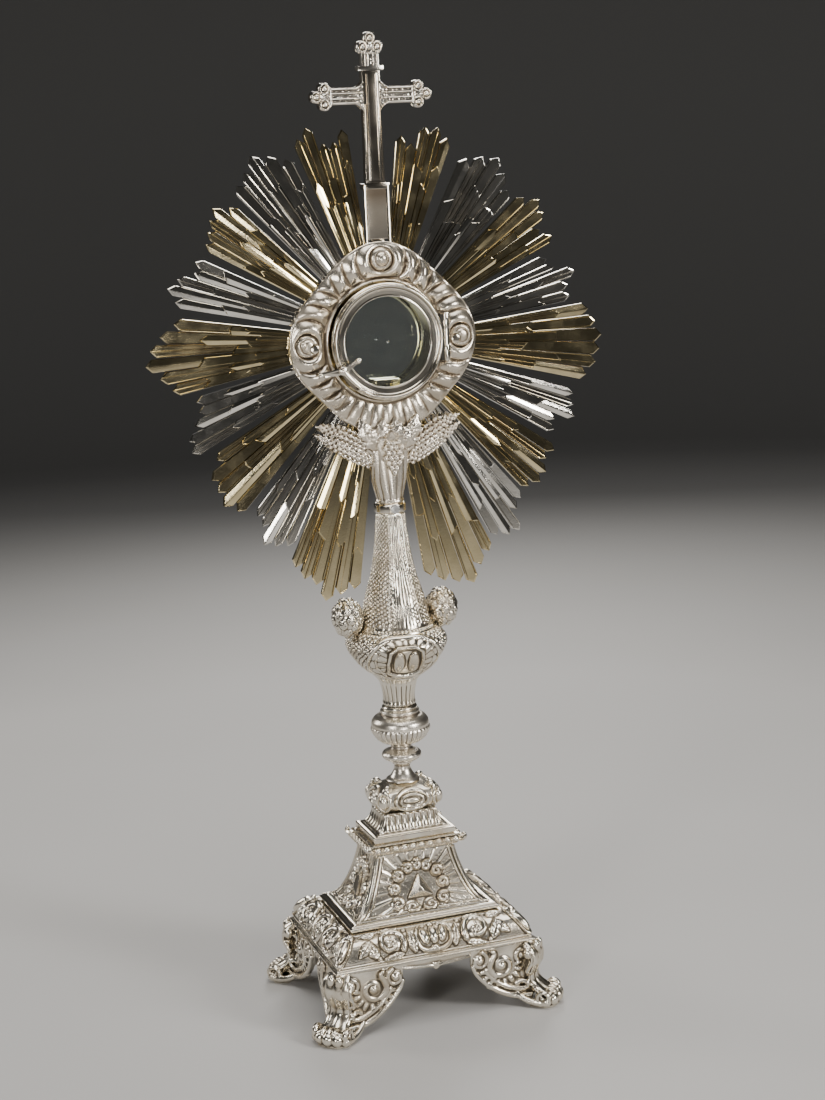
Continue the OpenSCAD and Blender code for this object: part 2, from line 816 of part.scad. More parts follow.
// Tapered post that stands on a tenon between the flange and the cloud frame
module cross_post() {
    shoulder_z = eye_z + cloud_r + 5.5;
    top_z = 598;
    color(silver)
        union() {
            facing_plate(-3.4, 3.4)
                polygon([[-7.7, shoulder_z], [7.7, shoulder_z], [7.3, top_z - 4], [-7.3, top_z - 4]]);
            translate([-4.5, -ray_layer, eye_z + fan_root_r - 1])
                cube([9, 2 * ray_layer, shoulder_z - eye_z - fan_root_r + 2]);
            translate([0, 0, top_z - 2])
                cube([19, 9, 4], center = true);
        }
}

// Three lobes at the end of an arm that runs along +X
module trefoil() {
    lobe = 4.1;
    for (p = [[arm_half - 10, 5.3], [arm_half - 10, -5.3], [arm_half - lobe, 0]])
        translate(p)
            circle(r = lobe, $fn = 32);
}

// Shaft and arms with a raised rib down the front
module cross_body() {
    low_z = 598;
    top_z = total_h - 26;
    arm_h = 5.9;
    color(silver)
        union() {
            facing_plate(-3, 3)
                union() {
                    for (s = [-1, 1])
                        scale([s, 1, 1])
                            polygon([[-0.1, low_z], [7, low_z], [6.3, arm_z - arm_h - 3],
                                [9.5, arm_z - arm_h], [arm_half - 8, arm_z - arm_h],
                                [arm_half - 8, arm_z + arm_h], [9.5, arm_z + arm_h],
                                [6.3, arm_z + arm_h + 3], [6.3, top_z], [-0.1, top_z]]);
                    for (s = [-1, 1])
                        translate([0, arm_z])
                            scale([s, 1, 1])
                                trefoil();
                }
            translate([-4, -4.6, low_z + 2])
                cube([8, 3, top_z - low_z - 4]);
        }
}

// Collar and three-lobed finial that crown the cross
module cross_finial() {
    low_z = total_h - 26;
    color(silver)
        union() {
            translate([0, 0, low_z + 1.5])
                cube([18, 8, 3], center = true);
            facing_plate(-3.4, 3.4)
                union() {
                    translate([-6, low_z + 2])
                        square([12, 13]);
                    translate([0, total_h - arm_half])
                        rotate(90)
                            trefoil();
                }
        }
}

foot_front_left();
foot_front_right();
foot_rear_left();
foot_rear_right();
lower_cornice();
base_frieze();
middle_cornice();
pyramid_shell();
beaded_plate();
fluted_plinth();
capital_block();
tie_rod();
rod_nut();
lower_spool();
knop();
fluted_neck();
vase_node();
globe_left();
globe_right();
cone_sleeve();
upper_collar();
collar_screw();
flared_socket();
wheat_left();
wheat_right();
grape_cluster();
chamber_drum();
lunette_rail();
rear_bezel();
rear_glass();
cloud_frame();
frame_screws();
latch_stud();
hinge_leaf();
hinge_pin();
door_bezel();
door_glass();
latch_rivet();
latch_lever();
cross_post();
cross_body();
cross_finial();
for (f = FANS)
    fan(f);
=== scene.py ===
"""Looks of the monstrance: chased silver base and stem, gilt and silver rays, glazed chamber, cross.

Shapes are worked out in millimetres and turned into metres when a piece is made. Every piece is
built in the frame's own axes: +Z up, the front towards -Y.
"""
import json
import math

import bmesh
import bpy
import numpy as np
from mathutils import Matrix, Vector

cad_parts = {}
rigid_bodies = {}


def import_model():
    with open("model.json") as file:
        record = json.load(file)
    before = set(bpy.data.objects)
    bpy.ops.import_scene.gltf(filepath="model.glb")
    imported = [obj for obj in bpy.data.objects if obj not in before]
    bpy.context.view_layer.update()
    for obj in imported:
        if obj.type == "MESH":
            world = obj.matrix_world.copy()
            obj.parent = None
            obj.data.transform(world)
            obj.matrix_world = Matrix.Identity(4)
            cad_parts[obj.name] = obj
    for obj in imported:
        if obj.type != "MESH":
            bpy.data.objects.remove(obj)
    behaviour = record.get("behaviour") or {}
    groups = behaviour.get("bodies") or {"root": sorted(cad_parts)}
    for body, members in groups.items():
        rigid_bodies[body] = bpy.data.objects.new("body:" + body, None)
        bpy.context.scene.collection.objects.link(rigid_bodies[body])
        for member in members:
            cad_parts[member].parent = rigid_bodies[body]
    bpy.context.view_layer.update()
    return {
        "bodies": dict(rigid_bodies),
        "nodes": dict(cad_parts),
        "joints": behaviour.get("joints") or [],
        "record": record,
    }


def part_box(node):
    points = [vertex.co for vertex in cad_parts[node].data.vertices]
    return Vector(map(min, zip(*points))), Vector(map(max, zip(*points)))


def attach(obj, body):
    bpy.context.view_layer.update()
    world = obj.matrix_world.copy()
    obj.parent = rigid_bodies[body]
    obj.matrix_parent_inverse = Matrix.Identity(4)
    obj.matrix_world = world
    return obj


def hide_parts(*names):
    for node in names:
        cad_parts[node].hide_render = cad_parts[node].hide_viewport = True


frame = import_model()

MM = 0.001


def box_mm(node):
    """Lowest and highest corner of a CAD node, in millimetres."""
    low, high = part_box(node)
    return np.array(low) / MM, np.array(high) / MM


def heights(node):
    """Lowest and highest Z of a CAD node, in millimetres."""
    low, high = box_mm(node)
    return low[2], high[2]


EYE_Z = sum(heights("door_glass")) / 2


def on_disc(r, a, y):
    """Points at radius r and angle a round the chamber's axis, at y along it."""
    return np.stack(np.broadcast_arrays(r * np.cos(a), y, EYE_Z + r * np.sin(a)), -1)


# ---------- curves ----------

def smoothstep(x, low=0.0, high=1.0):
    """A smooth rise from 0 at low to 1 at high."""
    t = np.clip((x - low) / (high - low), 0, 1)
    return t * t * (3 - 2 * t)


def bell(x, centre, width):
    """A smooth bump of height 1 round the centre."""
    return np.exp(-((x - centre) / width)**2)


def curve(points, n):
    """n points along a smooth curve through the given ones."""
    p = np.array(points, float)
    p = np.vstack([2 * p[0] - p[1], p, 2 * p[-1] - p[-2]])
    t = np.linspace(0, len(p) - 3 - 1e-9, n)
    i = t.astype(int)
    f = (t - i)[:, None]
    a, b, c, d = p[i], p[i + 1], p[i + 2], p[i + 3]
    return 0.5 * (2 * b + (c - a) * f + (2 * a - 5 * b + 4 * c - d) * f**2
                  + (3 * b - a - 3 * c + d) * f**3)


def bulge(ratio):
    """The height of a round back of radius 1 at a distance of ratio from its middle, 0 beyond it."""
    return np.sqrt(np.clip(1 - ratio**2, 0, 1))


def full_turn(n):
    """n angles evenly round a circle, as one row."""
    return np.linspace(0, 2 * math.pi, n, endpoint=False)[None]


def based(z, points, *last):
    """A profile of (distance, height over z) points, followed by any points with their own heights."""
    return [(a, z + up) for a, up in points] + list(last)


def eased(points, step=0.4, passes=3):
    """A polyline resampled every step millimetres, with its corners rounded."""
    p = np.array(points, float)
    along = np.r_[0, np.cumsum(np.linalg.norm(np.diff(p, axis=0), axis=1))]
    at = np.linspace(0, along[-1], max(int(along[-1] / step), 4) + 1)
    q = np.stack([np.interp(at, along, p[:, i]) for i in range(p.shape[1])], 1)
    for _ in range(passes):
        q[1:-1] = (q[:-2] + 2 * q[1:-1] + q[2:]) / 4
    return q


def spiral(cx, cy, r0, r1, start, turns, n=28):
    """Points of a volute round (cx, cy), from radius r0 in to r1. start is in degrees."""
    t = np.linspace(0, 1, n)
    a = math.radians(start) + t * turns * 2 * math.pi
    r = r0 + (r1 - r0) * t**0.8
    return np.stack([cx + r * np.cos(a), cy + r * np.sin(a)], 1)


def value_noise(x, y, seed):
    """Smooth noise from 0 to 1 with cells one unit wide, the same each time for a seed."""
    table = np.random.default_rng(seed).random((64, 64))
    i, j = np.floor(x).astype(int), np.floor(y).astype(int)
    u, v = smoothstep(x - i), smoothstep(y - j)
    i0, i1, j0, j1 = i % 64, (i + 1) % 64, j % 64, (j + 1) % 64
    low = table[i0, j0] * (1 - u) + table[i1, j0] * u
    high = table[i0, j1] * (1 - u) + table[i1, j1] * u
    return low * (1 - v) + high * v


def pebbles(x, y):
    """Heights from 0 to 1 of close-set round pebbles, one to each unit of x and y."""
    x, y = 0.82 * x + 0.57 * y, 0.82 * y - 0.57 * x
    row = np.floor(y)
    x = x + 0.5 * (row % 2)
    column = np.floor(x)
    table = np.random.default_rng(5).random((3, 64, 64))
    shift_x, shift_y, size = table[:, column.astype(int) % 64, row.astype(int) % 64]
    away = np.hypot(x - column - 0.38 - 0.24 * shift_x, y - row - 0.38 - 0.24 * shift_y)
    return (0.6 + 0.4 * size) * bulge(away / (0.36 + 0.14 * size))


class Relief:
    """Heights in millimetres over a patch of surface, where x runs across and y runs up."""

    def __init__(self, x, y):
        self.x, self.y = np.broadcast_arrays(x, y)
        self.h = np.zeros(self.x.shape)

    def raised(self, h):
        """Keeps the higher of the relief and h everywhere."""
        self.h = np.maximum(self.h, h)
        return self

    def stroke(self, points, width, height, thin=0.35):
        """A rounded cord along the points, thinner by its end."""
        p = np.asarray(points, float)
        low, high = p.min(0) - width, p.max(0) + width
        mask = (self.x > low[0]) & (self.x < high[0]) & (self.y > low[1]) & (self.y < high[1])
        if not mask.any():
            return self
        at = np.stack([self.x[mask], self.y[mask]], 1)[:, None]
        start, leg = p[:-1], np.diff(p, axis=0)
        t = ((at - start) * leg).sum(2) / np.maximum((leg**2).sum(1), 1e-9)
        t = np.clip(t, 0, 1)
        gap = np.linalg.norm(at - start - t[..., None] * leg, axis=2)
        nearest = gap.argmin(1)
        row = np.arange(len(nearest))
        way = (nearest + t[row, nearest]) / len(leg)
        w = width * (1 - (1 - thin) * way)
        ratio = gap[row, nearest] / w
        self.h[mask] = np.maximum(self.h[mask], height * (0.5 + 0.5 * w / width) * bulge(ratio))
        return self

    def dome(self, cx, cy, rx, ry, height, turn=0.0, ring=0.0):
        """An oval dome; ring is the height of a cord round it."""
        a = math.radians(turn)
        dx, dy = self.x - cx, self.y - cy
        u = (dx * math.cos(a) + dy * math.sin(a)) / rx
        v = (dy * math.cos(a) - dx * math.sin(a)) / ry
        d = np.hypot(u, v)
        self.raised(height * bulge(d))
        if ring:
            self.raised(ring * bulge((d - 1.25) / 0.17))
        return self

    def leaf(self, base, tip, width, height, veins=5):
        """A pointed leaf from base to tip, with a creased middle and side veins."""
        base, tip = np.array(base, float), np.array(tip, float)
        length = np.linalg.norm(tip - base)
        ax, ay = (tip - base) / length
        t = ((self.x - base[0]) * ax + (self.y - base[1]) * ay) / length
        side = (self.y - base[1]) * ax - (self.x - base[0]) * ay
        inside = np.clip(t, 0, 1)
        scallop = 1 - 0.16 * np.abs(np.sin(inside * veins * math.pi))
        half = width * np.sin(math.pi * inside**0.75) ** 0.8 * scallop + 1e-6
        s = np.abs(side) / half
        body = bulge(s) * ((t > 0) & (t < 1))
        crease = 0.28 * np.exp(-(side / (0.14 * width))**2)
        vein = 0.16 * np.cos((inside * veins * 2 - s * 1.1) * math.pi * 1.4)
        return self.raised(height * body * (1 - crease + vein * s))

    def rosette(self, cx, cy, r, height, petals=5, turn=0.0):
        """A small flower: petals round a bead."""
        for i in range(petals):
            a = math.radians(turn + 360 * i / petals)
            self.dome(cx + 0.6 * r * math.cos(a), cy + 0.6 * r * math.sin(a), 0.42 * r, 0.3 * r,
                      0.75 * height, math.degrees(a))
        return self.dome(cx, cy, 0.3 * r, 0.3 * r, height)

    def matting(self, size, depth, seed=1):
        """Punched ground between the raised ornament."""
        bumps = value_noise(self.x / size, self.y / size, seed) - 0.5
        self.h = self.h + depth * bumps * (self.h < 0.25)
        return self


# ---------- solids: each is (points, [faces of one size, ...]) ----------

def grid_faces(rows, cols, wrap_rows, wrap_cols):
    """The four-sided faces of a grid of points, closed on itself where it wraps."""
    i = np.arange(rows if wrap_rows else rows - 1)
    j = np.arange(cols if wrap_cols else cols - 1)
    i, j = (a.ravel() for a in np.meshgrid(i, j, indexing="ij"))
    i1, j1 = (i + 1) % rows, (j + 1) % cols
    return np.stack([i * cols + j, i * cols + j1, i1 * cols + j1, i1 * cols + j], 1)


def ring_solid(points):
    """A closed solid from a grid of points that closes on itself both ways."""
    rows, cols = points.shape[:2]
    return points.reshape(-1, 3), [grid_faces(rows, cols, True, True)]


def loft(loops, paired=False):
    """A closed solid through loops of points.

    Paired loops run along a front edge and back along its rear, and close with a strip at each end.
    """
    rows, cols = loops.shape[:2]
    cap = np.arange(cols)[None]
    if paired:
        i = np.arange(cols // 2 - 1)
        cap = np.stack([i, i + 1, cols - 2 - i, cols - 1 - i], 1)
    return loops.reshape(-1, 3), [grid_faces(rows, cols, False, True), cap[:, ::-1], cap + (rows - 1) * cols]


def slab(x, z, y_front, y_back):
    """A panel over a grid of (x, z), between a worked front and a back."""
    front = np.stack([x, y_front + 0 * x, z], -1)
    back = np.stack([x, y_back + 0 * x, z], -1)[:, ::-1]
    return loft(np.concatenate([front, back], 1), paired=True)


def tube(path, radius, sides=10, flat=1.0, up=(0, -1, 0)):
    """A rod along a path; radius is one number or one for each point."""
    p = np.array(path, float)
    radius = np.broadcast_to(radius, len(p))[:, None, None]
    along = np.gradient(p, axis=0)
    along /= np.linalg.norm(along, axis=1, keepdims=True)
    side = np.cross(along, up)
    side /= np.maximum(np.linalg.norm(side, axis=1, keepdims=True), 1e-9)
    rise = np.cross(side, along)
    a = full_turn(sides)[..., None]
    return loft(p[:, None] + radius * (side[:, None] * np.cos(a) + flat * rise[:, None] * np.sin(a)))


def blob(centre, radii, axes=None, rings=8, sides=12, carve=None):
    """A closed ball, squashed to three radii along axes; carve may reshape its unit points."""
    a = np.linspace(0, math.pi, rings + 1)[1:-1, None]
    b = full_turn(sides)
    unit = np.stack([np.sin(a) * np.cos(b), np.sin(a) * np.sin(b), np.cos(a) + 0 * b], -1).reshape(-1, 3)
    unit = np.vstack([unit, [[0, 0, 1], [0, 0, -1]]])
    if carve is not None:
        unit = carve(unit)
    p = unit * np.array(radii, float)
    if axes is not None:
        p = p @ np.array(axes, float)
    n = (rings - 1) * sides
    j = np.arange(sides)
    top = np.stack([np.full(sides, n), j, (j + 1) % sides], 1)
    end = n - sides
    low = np.stack([np.full(sides, n + 1), end + (j + 1) % sides, end + j], 1)
    return p + np.array(centre, float), [grid_faces(rings - 1, sides, False, True)[:, ::-1], top, low]


def taper(points, n, r0, r1, *shape):
    """A rod through n points of a smooth curve, from radius r0 to r1."""
    return tube(curve(points, n), np.linspace(r0, r1, n), *shape)


def ball(centre, r, rings=8, sides=12):
    return blob(centre, (r, r, r), rings=rings, sides=sides)


def lean(angle, tilt=0.0):
    """Axes in the X-Z plane: the first at angle degrees, the second towards the front, tilted."""
    a, t = math.radians(angle), math.radians(tilt)
    along = np.array([math.cos(a), 0, math.sin(a)])
    front = np.array([0, -1.0, 0])
    along = along * math.cos(t) + front * math.sin(t)
    side = np.array([-math.sin(a), 0, math.cos(a)])
    return [along, np.cross(side, along), side]


def outward(points, faces):
    """Turns a closed solid's faces to point outwards."""
    volume = 0.0
    for f in faces:
        for k in range(1, f.shape[1] - 1):
            a, b, c = points[f[:, 0]], points[f[:, k]], points[f[:, k + 1]]
            volume += np.einsum("ij,ij->i", a, np.cross(b, c)).sum()
    return faces if volume > 0 else [f[:, ::-1] for f in faces]


def mark_hollows(mesh, spread=14, depth=0.2):
    """Stores how deep each point lies below its surroundings, from -1 on a ridge to 1 in a hollow."""
    n = len(mesh.vertices)
    co, normal = np.empty(n * 3), np.empty(n * 3)
    mesh.vertices.foreach_get("co", co)
    mesh.vertices.foreach_get("normal", normal)
    co, normal = co.reshape(-1, 3) / MM, normal.reshape(-1, 3)
    ends = np.empty(len(mesh.edges) * 2, int)
    mesh.edges.foreach_get("vertices", ends)
    a, b = ends.reshape(-1, 2).T
    degree = np.maximum(np.bincount(a, minlength=n) + np.bincount(b, minlength=n), 1)
    soft = co.copy()
    for _ in range(spread):
        near = np.stack([np.bincount(a, soft[b, k], n) + np.bincount(b, soft[a, k], n)
                         for k in range(3)], 1)
        soft = 0.5 * soft + 0.5 * near / degree[:, None]
    value = np.clip(((soft - co) * normal).sum(1) / depth, -1, 1)
    mesh.attributes.new("cavity", "FLOAT", "POINT").data.foreach_set("value", value.astype(np.float32))


def mesh_object(name, solids):
    """An object made of closed solids, given in millimetres."""
    points, faces, base = [], [], 0
    for p, fs in solids:
        points.append(p * MM)
        for f in outward(p, fs):
            faces += (f + base).tolist()
        base += len(p)
    mesh = bpy.data.meshes.new(name)
    mesh.from_pydata(np.vstack(points).tolist(), [], faces)
    mesh.update()
    obj = bpy.data.objects.new(name, mesh)
    bpy.context.scene.collection.objects.link(obj)
    return obj


def piece(name, solids, finish, nodes, body="stand", sharp=35):
    """One visible piece, with its material, its body and the CAD nodes that it stands for.

    finish is (material, slot). Edges stay sharp where their faces turn by more than sharp degrees.
    """
    material, slot = finish
    obj = mesh_object(name, solids)
    obj.data.materials.append(material)
    obj.data.shade_smooth()
    obj.data.set_sharp_from_angle(angle=math.radians(sharp))
    # The hollow depth darkens the metals' hollows: patina and painted shade together.
    mark_hollows(obj.data)
    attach(obj, body)
    if nodes:
        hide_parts(*nodes)


def casting(name, solids, voxel):
    """Overlapping solids melted into one skin, as one solid."""
    obj = mesh_object(name, solids)
    remesh = obj.modifiers.new("fuse", "REMESH")
    remesh.mode = "VOXEL"
    remesh.voxel_size = voxel * MM
    smooth = obj.modifiers.new("ease", "SMOOTH")
    smooth.iterations = 2
    smooth.factor = 0.5
    mesh = bpy.data.meshes.new_from_object(obj.evaluated_get(bpy.context.evaluated_depsgraph_get()))
    bpy.data.objects.remove(obj)
    points = np.empty(len(mesh.vertices) * 3)
    mesh.vertices.foreach_get("co", points)
    return points.reshape(-1, 3) / MM, [np.array([list(polygon.vertices) for polygon in mesh.polygons])]


def softened(node, width):
    """A copy of a CAD node with its sharp edges rounded, as a solid's points and faces."""
    bm = bmesh.new()
    bm.from_mesh(frame["nodes"][node].data)
    bmesh.ops.remove_doubles(bm, verts=bm.verts, dist=1e-6)
    bmesh.ops.dissolve_limit(bm, angle_limit=math.radians(1), verts=bm.verts, edges=bm.edges)
    sharp = [e for e in bm.edges if e.is_manifold and e.calc_face_angle(0) > math.radians(28)]
    bmesh.ops.bevel(bm, geom=sharp, offset=width * MM, segments=2, affect="EDGES", profile=0.6,
                    clamp_overlap=True)
    bm.verts.index_update()
    points = np.array([v.co for v in bm.verts]) / MM
    by_size = {}
    for f in bm.faces:
        by_size.setdefault(len(f.verts), []).append([v.index for v in f.verts])
    bm.free()
    return points, [np.array(f) for f in by_size.values()]


# ---------- materials ----------

def feed(tree, socket, value):
    """Links a socket to an output, or gives it a number or a colour."""
    if isinstance(value, bpy.types.NodeSocket):
        tree.links.new(value, socket)
    else:
        socket.default_value = (*value, 1) if isinstance(value, tuple) else value


def mix_colour(tree, factor, a, b):
    mix = tree.nodes.new("ShaderNodeMix")
    mix.data_type = "RGBA"
    for key, value in (("Factor", factor), ("A", a), ("B", b)):
        feed(tree, mix.inputs[key], value)
    return mix.outputs["Result"]


def remap(tree, value, low, high, to_low=0.0, to_high=1.0):
    """Turns the range from low to high into another one, and holds what lies outside it at its ends."""
    node = tree.nodes.new("ShaderNodeMapRange")
    tree.links.new(value, node.inputs["Value"])
    for key, number in (("From Min", low), ("From Max", high), ("To Min", to_low), ("To Max", to_high)):
        node.inputs[key].default_value = number
    return node.outputs["Result"]


def noise(tree, scale, detail, stretch=(1, 1, 1)):
    """Noise over the piece's own coordinates; scale is in waves per metre."""
    coords = tree.nodes.new("ShaderNodeTexCoord")
    mapping = tree.nodes.new("ShaderNodeMapping")
    mapping.inputs["Scale"].default_value = stretch
    texture = tree.nodes.new("ShaderNodeTexNoise")
    texture.inputs["Scale"].default_value = scale
    texture.inputs["Detail"].default_value = detail
    tree.links.new(coords.outputs["Object"], mapping.inputs["Vector"])
    tree.links.new(mapping.outputs["Vector"], texture.inputs["Vector"])
    return texture.outputs["Fac"]


def maths(tree, operation, a, b):
    """The result of a sum, held between 0 and 1."""
    node = tree.nodes.new("ShaderNodeMath")
    node.operation = operation
    node.use_clamp = True
    feed(tree, node.inputs[0], a)
    feed(tree, node.inputs[1], b)
    return node.outputs["Value"]


def new_shader(name):
    """A new material, its nodes and its shader."""
    material = bpy.data.materials.new(name)
    material.use_nodes = True
    return material, material.node_tree, material.node_tree.nodes["Principled BSDF"]


def bump(tree, shader, height, strength, distance):
    """Fine unevenness in the way a surface shines; distance is in metres."""
    node = tree.nodes.new("ShaderNodeBump")
    node.inputs["Strength"].default_value = strength
    node.inputs["Distance"].default_value = distance
    tree.links.new(height, node.inputs["Height"])
    tree.links.new(node.outputs["Normal"], shader.inputs["Normal"])


def metal(name, slot, bright, stain, dark, rough, tarnish_and_shade, grain, grain_depth):
    """Worn plate and its slot: bright on the ridges, stained in patches, and dark in the hollows, partly from
    patina and partly as painted shade.
    """
    material, tree, shader = new_shader(name)
    shader.inputs["Metallic"].default_value = 1.0
    cavity = tree.nodes.new("ShaderNodeAttribute")
    cavity.attribute_name = "cavity"
    hollow = remap(tree, cavity.outputs["Fac"], 0.02, 0.8)
    patches = remap(tree, noise(tree, 55, 5), 0.42, 0.68)
    stain_and_shade = maths(tree, "MULTIPLY", patches, tarnish_and_shade)
    stain_and_shade = maths(tree, "ADD", stain_and_shade, maths(tree, "MULTIPLY", hollow, tarnish_and_shade))
    colour = mix_colour(tree, stain_and_shade, bright, stain)
    # The hollows take the dark colour: partly patina, partly painted shade in creases and between parts.
    hollow_patina_and_shade = maths(tree, "MULTIPLY", maths(tree, "POWER", hollow, 1.5), 0.5 + 0.5 * tarnish_and_shade)
    tree.links.new(mix_colour(tree, hollow_patina_and_shade, colour, dark), shader.inputs["Base Color"])
    fine = noise(tree, grain, 2)
    spread = maths(tree, "ADD", maths(tree, "MULTIPLY", stain_and_shade, 0.6), maths(tree, "MULTIPLY", fine, 0.4))
    tree.links.new(remap(tree, spread, 0.1, 0.8, *rough), shader.inputs["Roughness"])
    bump(tree, shader, fine, grain_depth, 0.0004)
    return material, slot


def clear_glass():
    """Flat old glass with a faint green tint, a little haze and smears."""
    material, tree, shader = new_shader("clear_glass")
    shader.inputs["Transmission Weight"].default_value = 0.985
    shader.inputs["IOR"].default_value = 1.45
    smears = remap(tree, noise(tree, 70, 4, (1, 1, 2.5)), 0.45, 0.75)
    tree.links.new(mix_colour(tree, smears, (0.93, 0.97, 0.96), (0.80, 0.86, 0.85)),
                   shader.inputs["Base Color"])
    tree.links.new(remap(tree, smears, 0.0, 1.0, 0.0, 0.12), shader.inputs["Roughness"])
    bump(tree, shader, noise(tree, 60, 2), 0.02, 0.0005)
    return material, "glass"


def floor_paint():
    """Pale matt floor with a painted pool of light: pale round the monstrance, darkening towards the walls of
    the studio.
    """
    material, tree, shader = new_shader("pale_floor")
    coords = tree.nodes.new("ShaderNodeTexCoord")
    length = tree.nodes.new("ShaderNodeVectorMath")
    length.operation = "LENGTH"
    tree.links.new(coords.outputs["Object"], length.inputs[0])
    pale = mix_colour(tree, noise(tree, 3, 2), (0.42, 0.415, 0.405), (0.455, 0.45, 0.445))
    # Painted pool of light: pale near the centre, fading to dark from 0.9 m to 2.7 m out.
    distance = remap(tree, length.outputs["Value"], 0.9, 2.7)
    tree.links.new(mix_colour(tree, distance, pale, (0.10, 0.10, 0.097)), shader.inputs["Base Color"])
    shader.inputs["Roughness"].default_value = 0.7
    return material


# Colours on the ridges, in the stains and in the hollows (the hollow colour is partly patina and partly
# painted shade), the range of roughness, the share of tarnish and of painted shade, and the grain's waves per
# metre and strength
POLISHED = metal("polished_silver", "silver_polished", (0.86, 0.81, 0.71), (0.70, 0.61, 0.47),
                 (0.20, 0.15, 0.10), (0.10, 0.25), 0.35, 900, 0.04)
CHASED = metal("chased_silver", "silver_chased", (0.86, 0.81, 0.70), (0.60, 0.52, 0.40),
               (0.06, 0.048, 0.032), (0.15, 0.34), 0.8, 1600, 0.06)
MATT = metal("matt_silver", "silver_matt", (0.72, 0.66, 0.56), (0.54, 0.47, 0.37),
             (0.12, 0.09, 0.06), (0.22, 0.37), 0.7, 1200, 0.08)
GILT = metal("silver_gilt", "silver_gilt", (0.72, 0.62, 0.39), (0.46, 0.39, 0.22),
             (0.12, 0.08, 0.04), (0.07, 0.22), 0.6, 900, 0.06)
SILVER_RAY = metal("ray_silver", "silver_polished", (0.80, 0.78, 0.73), (0.52, 0.48, 0.40),
                   (0.12, 0.10, 0.07), (0.06, 0.20), 0.5, 900, 0.06)
CROSS_WORN = metal("worn_silver", "silver_polished", (0.88, 0.84, 0.76), (0.62, 0.56, 0.46),
                   (0.10, 0.08, 0.06), (0.12, 0.26), 0.5, 1500, 0.08)
SATIN = metal("satin_silver", "silver_chased", (0.80, 0.74, 0.64), (0.60, 0.52, 0.41),
              (0.08, 0.06, 0.04), (0.22, 0.38), 0.7, 1300, 0.12)
STEEL = metal("plain_steel", "steel", (0.60, 0.61, 0.61), (0.42, 0.41, 0.39),
              (0.10, 0.09, 0.08), (0.22, 0.40), 0.5, 1500, 0.15)
BRUSHED = metal("brushed_silver", "silver_polished", (0.84, 0.79, 0.70), (0.64, 0.56, 0.45),
                (0.12, 0.09, 0.06), (0.26, 0.40), 0.5, 1100, 0.06)
BRIGHT = metal("bright_chased_silver", "silver_chased", (0.86, 0.81, 0.70), (0.60, 0.52, 0.40),
               (0.06, 0.048, 0.032), (0.20, 0.34), 0.6, 1600, 0.05)
# A darker copy of the silver, painted on the cross shaft and post for their dark reflections.
DARK_REFLECTION_SILVER = metal("painted_dark_reflection_silver", "silver_polished", (0.58, 0.53, 0.45), (0.44, 0.38, 0.30),
              (0.20, 0.15, 0.10), (0.10, 0.26), 0.5, 900, 0.04)
# A dark copy of the silver, painted for the shade under the latch lever.
PAINTED_SHADE_SILVER = metal("painted_shade_silver", "silver_polished", (0.24, 0.21, 0.17), (0.15, 0.13, 0.10),
                  (0.05, 0.04, 0.03), (0.14, 0.30), 0.6, 1100, 0.06)
GLASS = clear_glass()


# ---------- turned and rectangular shapes ----------

def lathe(profile, draw, columns=240, step=0.45, passes=3):
    """A turned solid on the stem's axis from (radius, z) points, with relief on its outside.

    draw(x, y, angle) returns heights; x is the way round in mm, from the front, and y is Z.
    """
    bore = 3.2
    outer = eased(profile, step, passes)
    dr, dz = np.gradient(outer, axis=0).T
    size = np.hypot(dr, dz)
    nr, nz = dz / size, -dr / size
    angle = np.linspace(-math.pi, math.pi, columns, endpoint=False)[None]
    r, z = outer[:, :1], outer[:, 1:]
    h = draw(angle * r, z + 0 * angle, angle + 0 * z) * smoothstep(r, bore, bore + 2)
    r, z = r + h * nr[:, None], z + h * nz[:, None]
    points = np.stack([r * np.sin(angle), -r * np.cos(angle), z], -1)
    ends = []
    for height in (outer[-1, 1], outer[0, 1]):
        ends.append(np.stack([bore * np.sin(angle), -bore * np.cos(angle), height + 0 * angle], -1)[0])
    return ring_solid(np.vstack([points, np.array(ends)]))


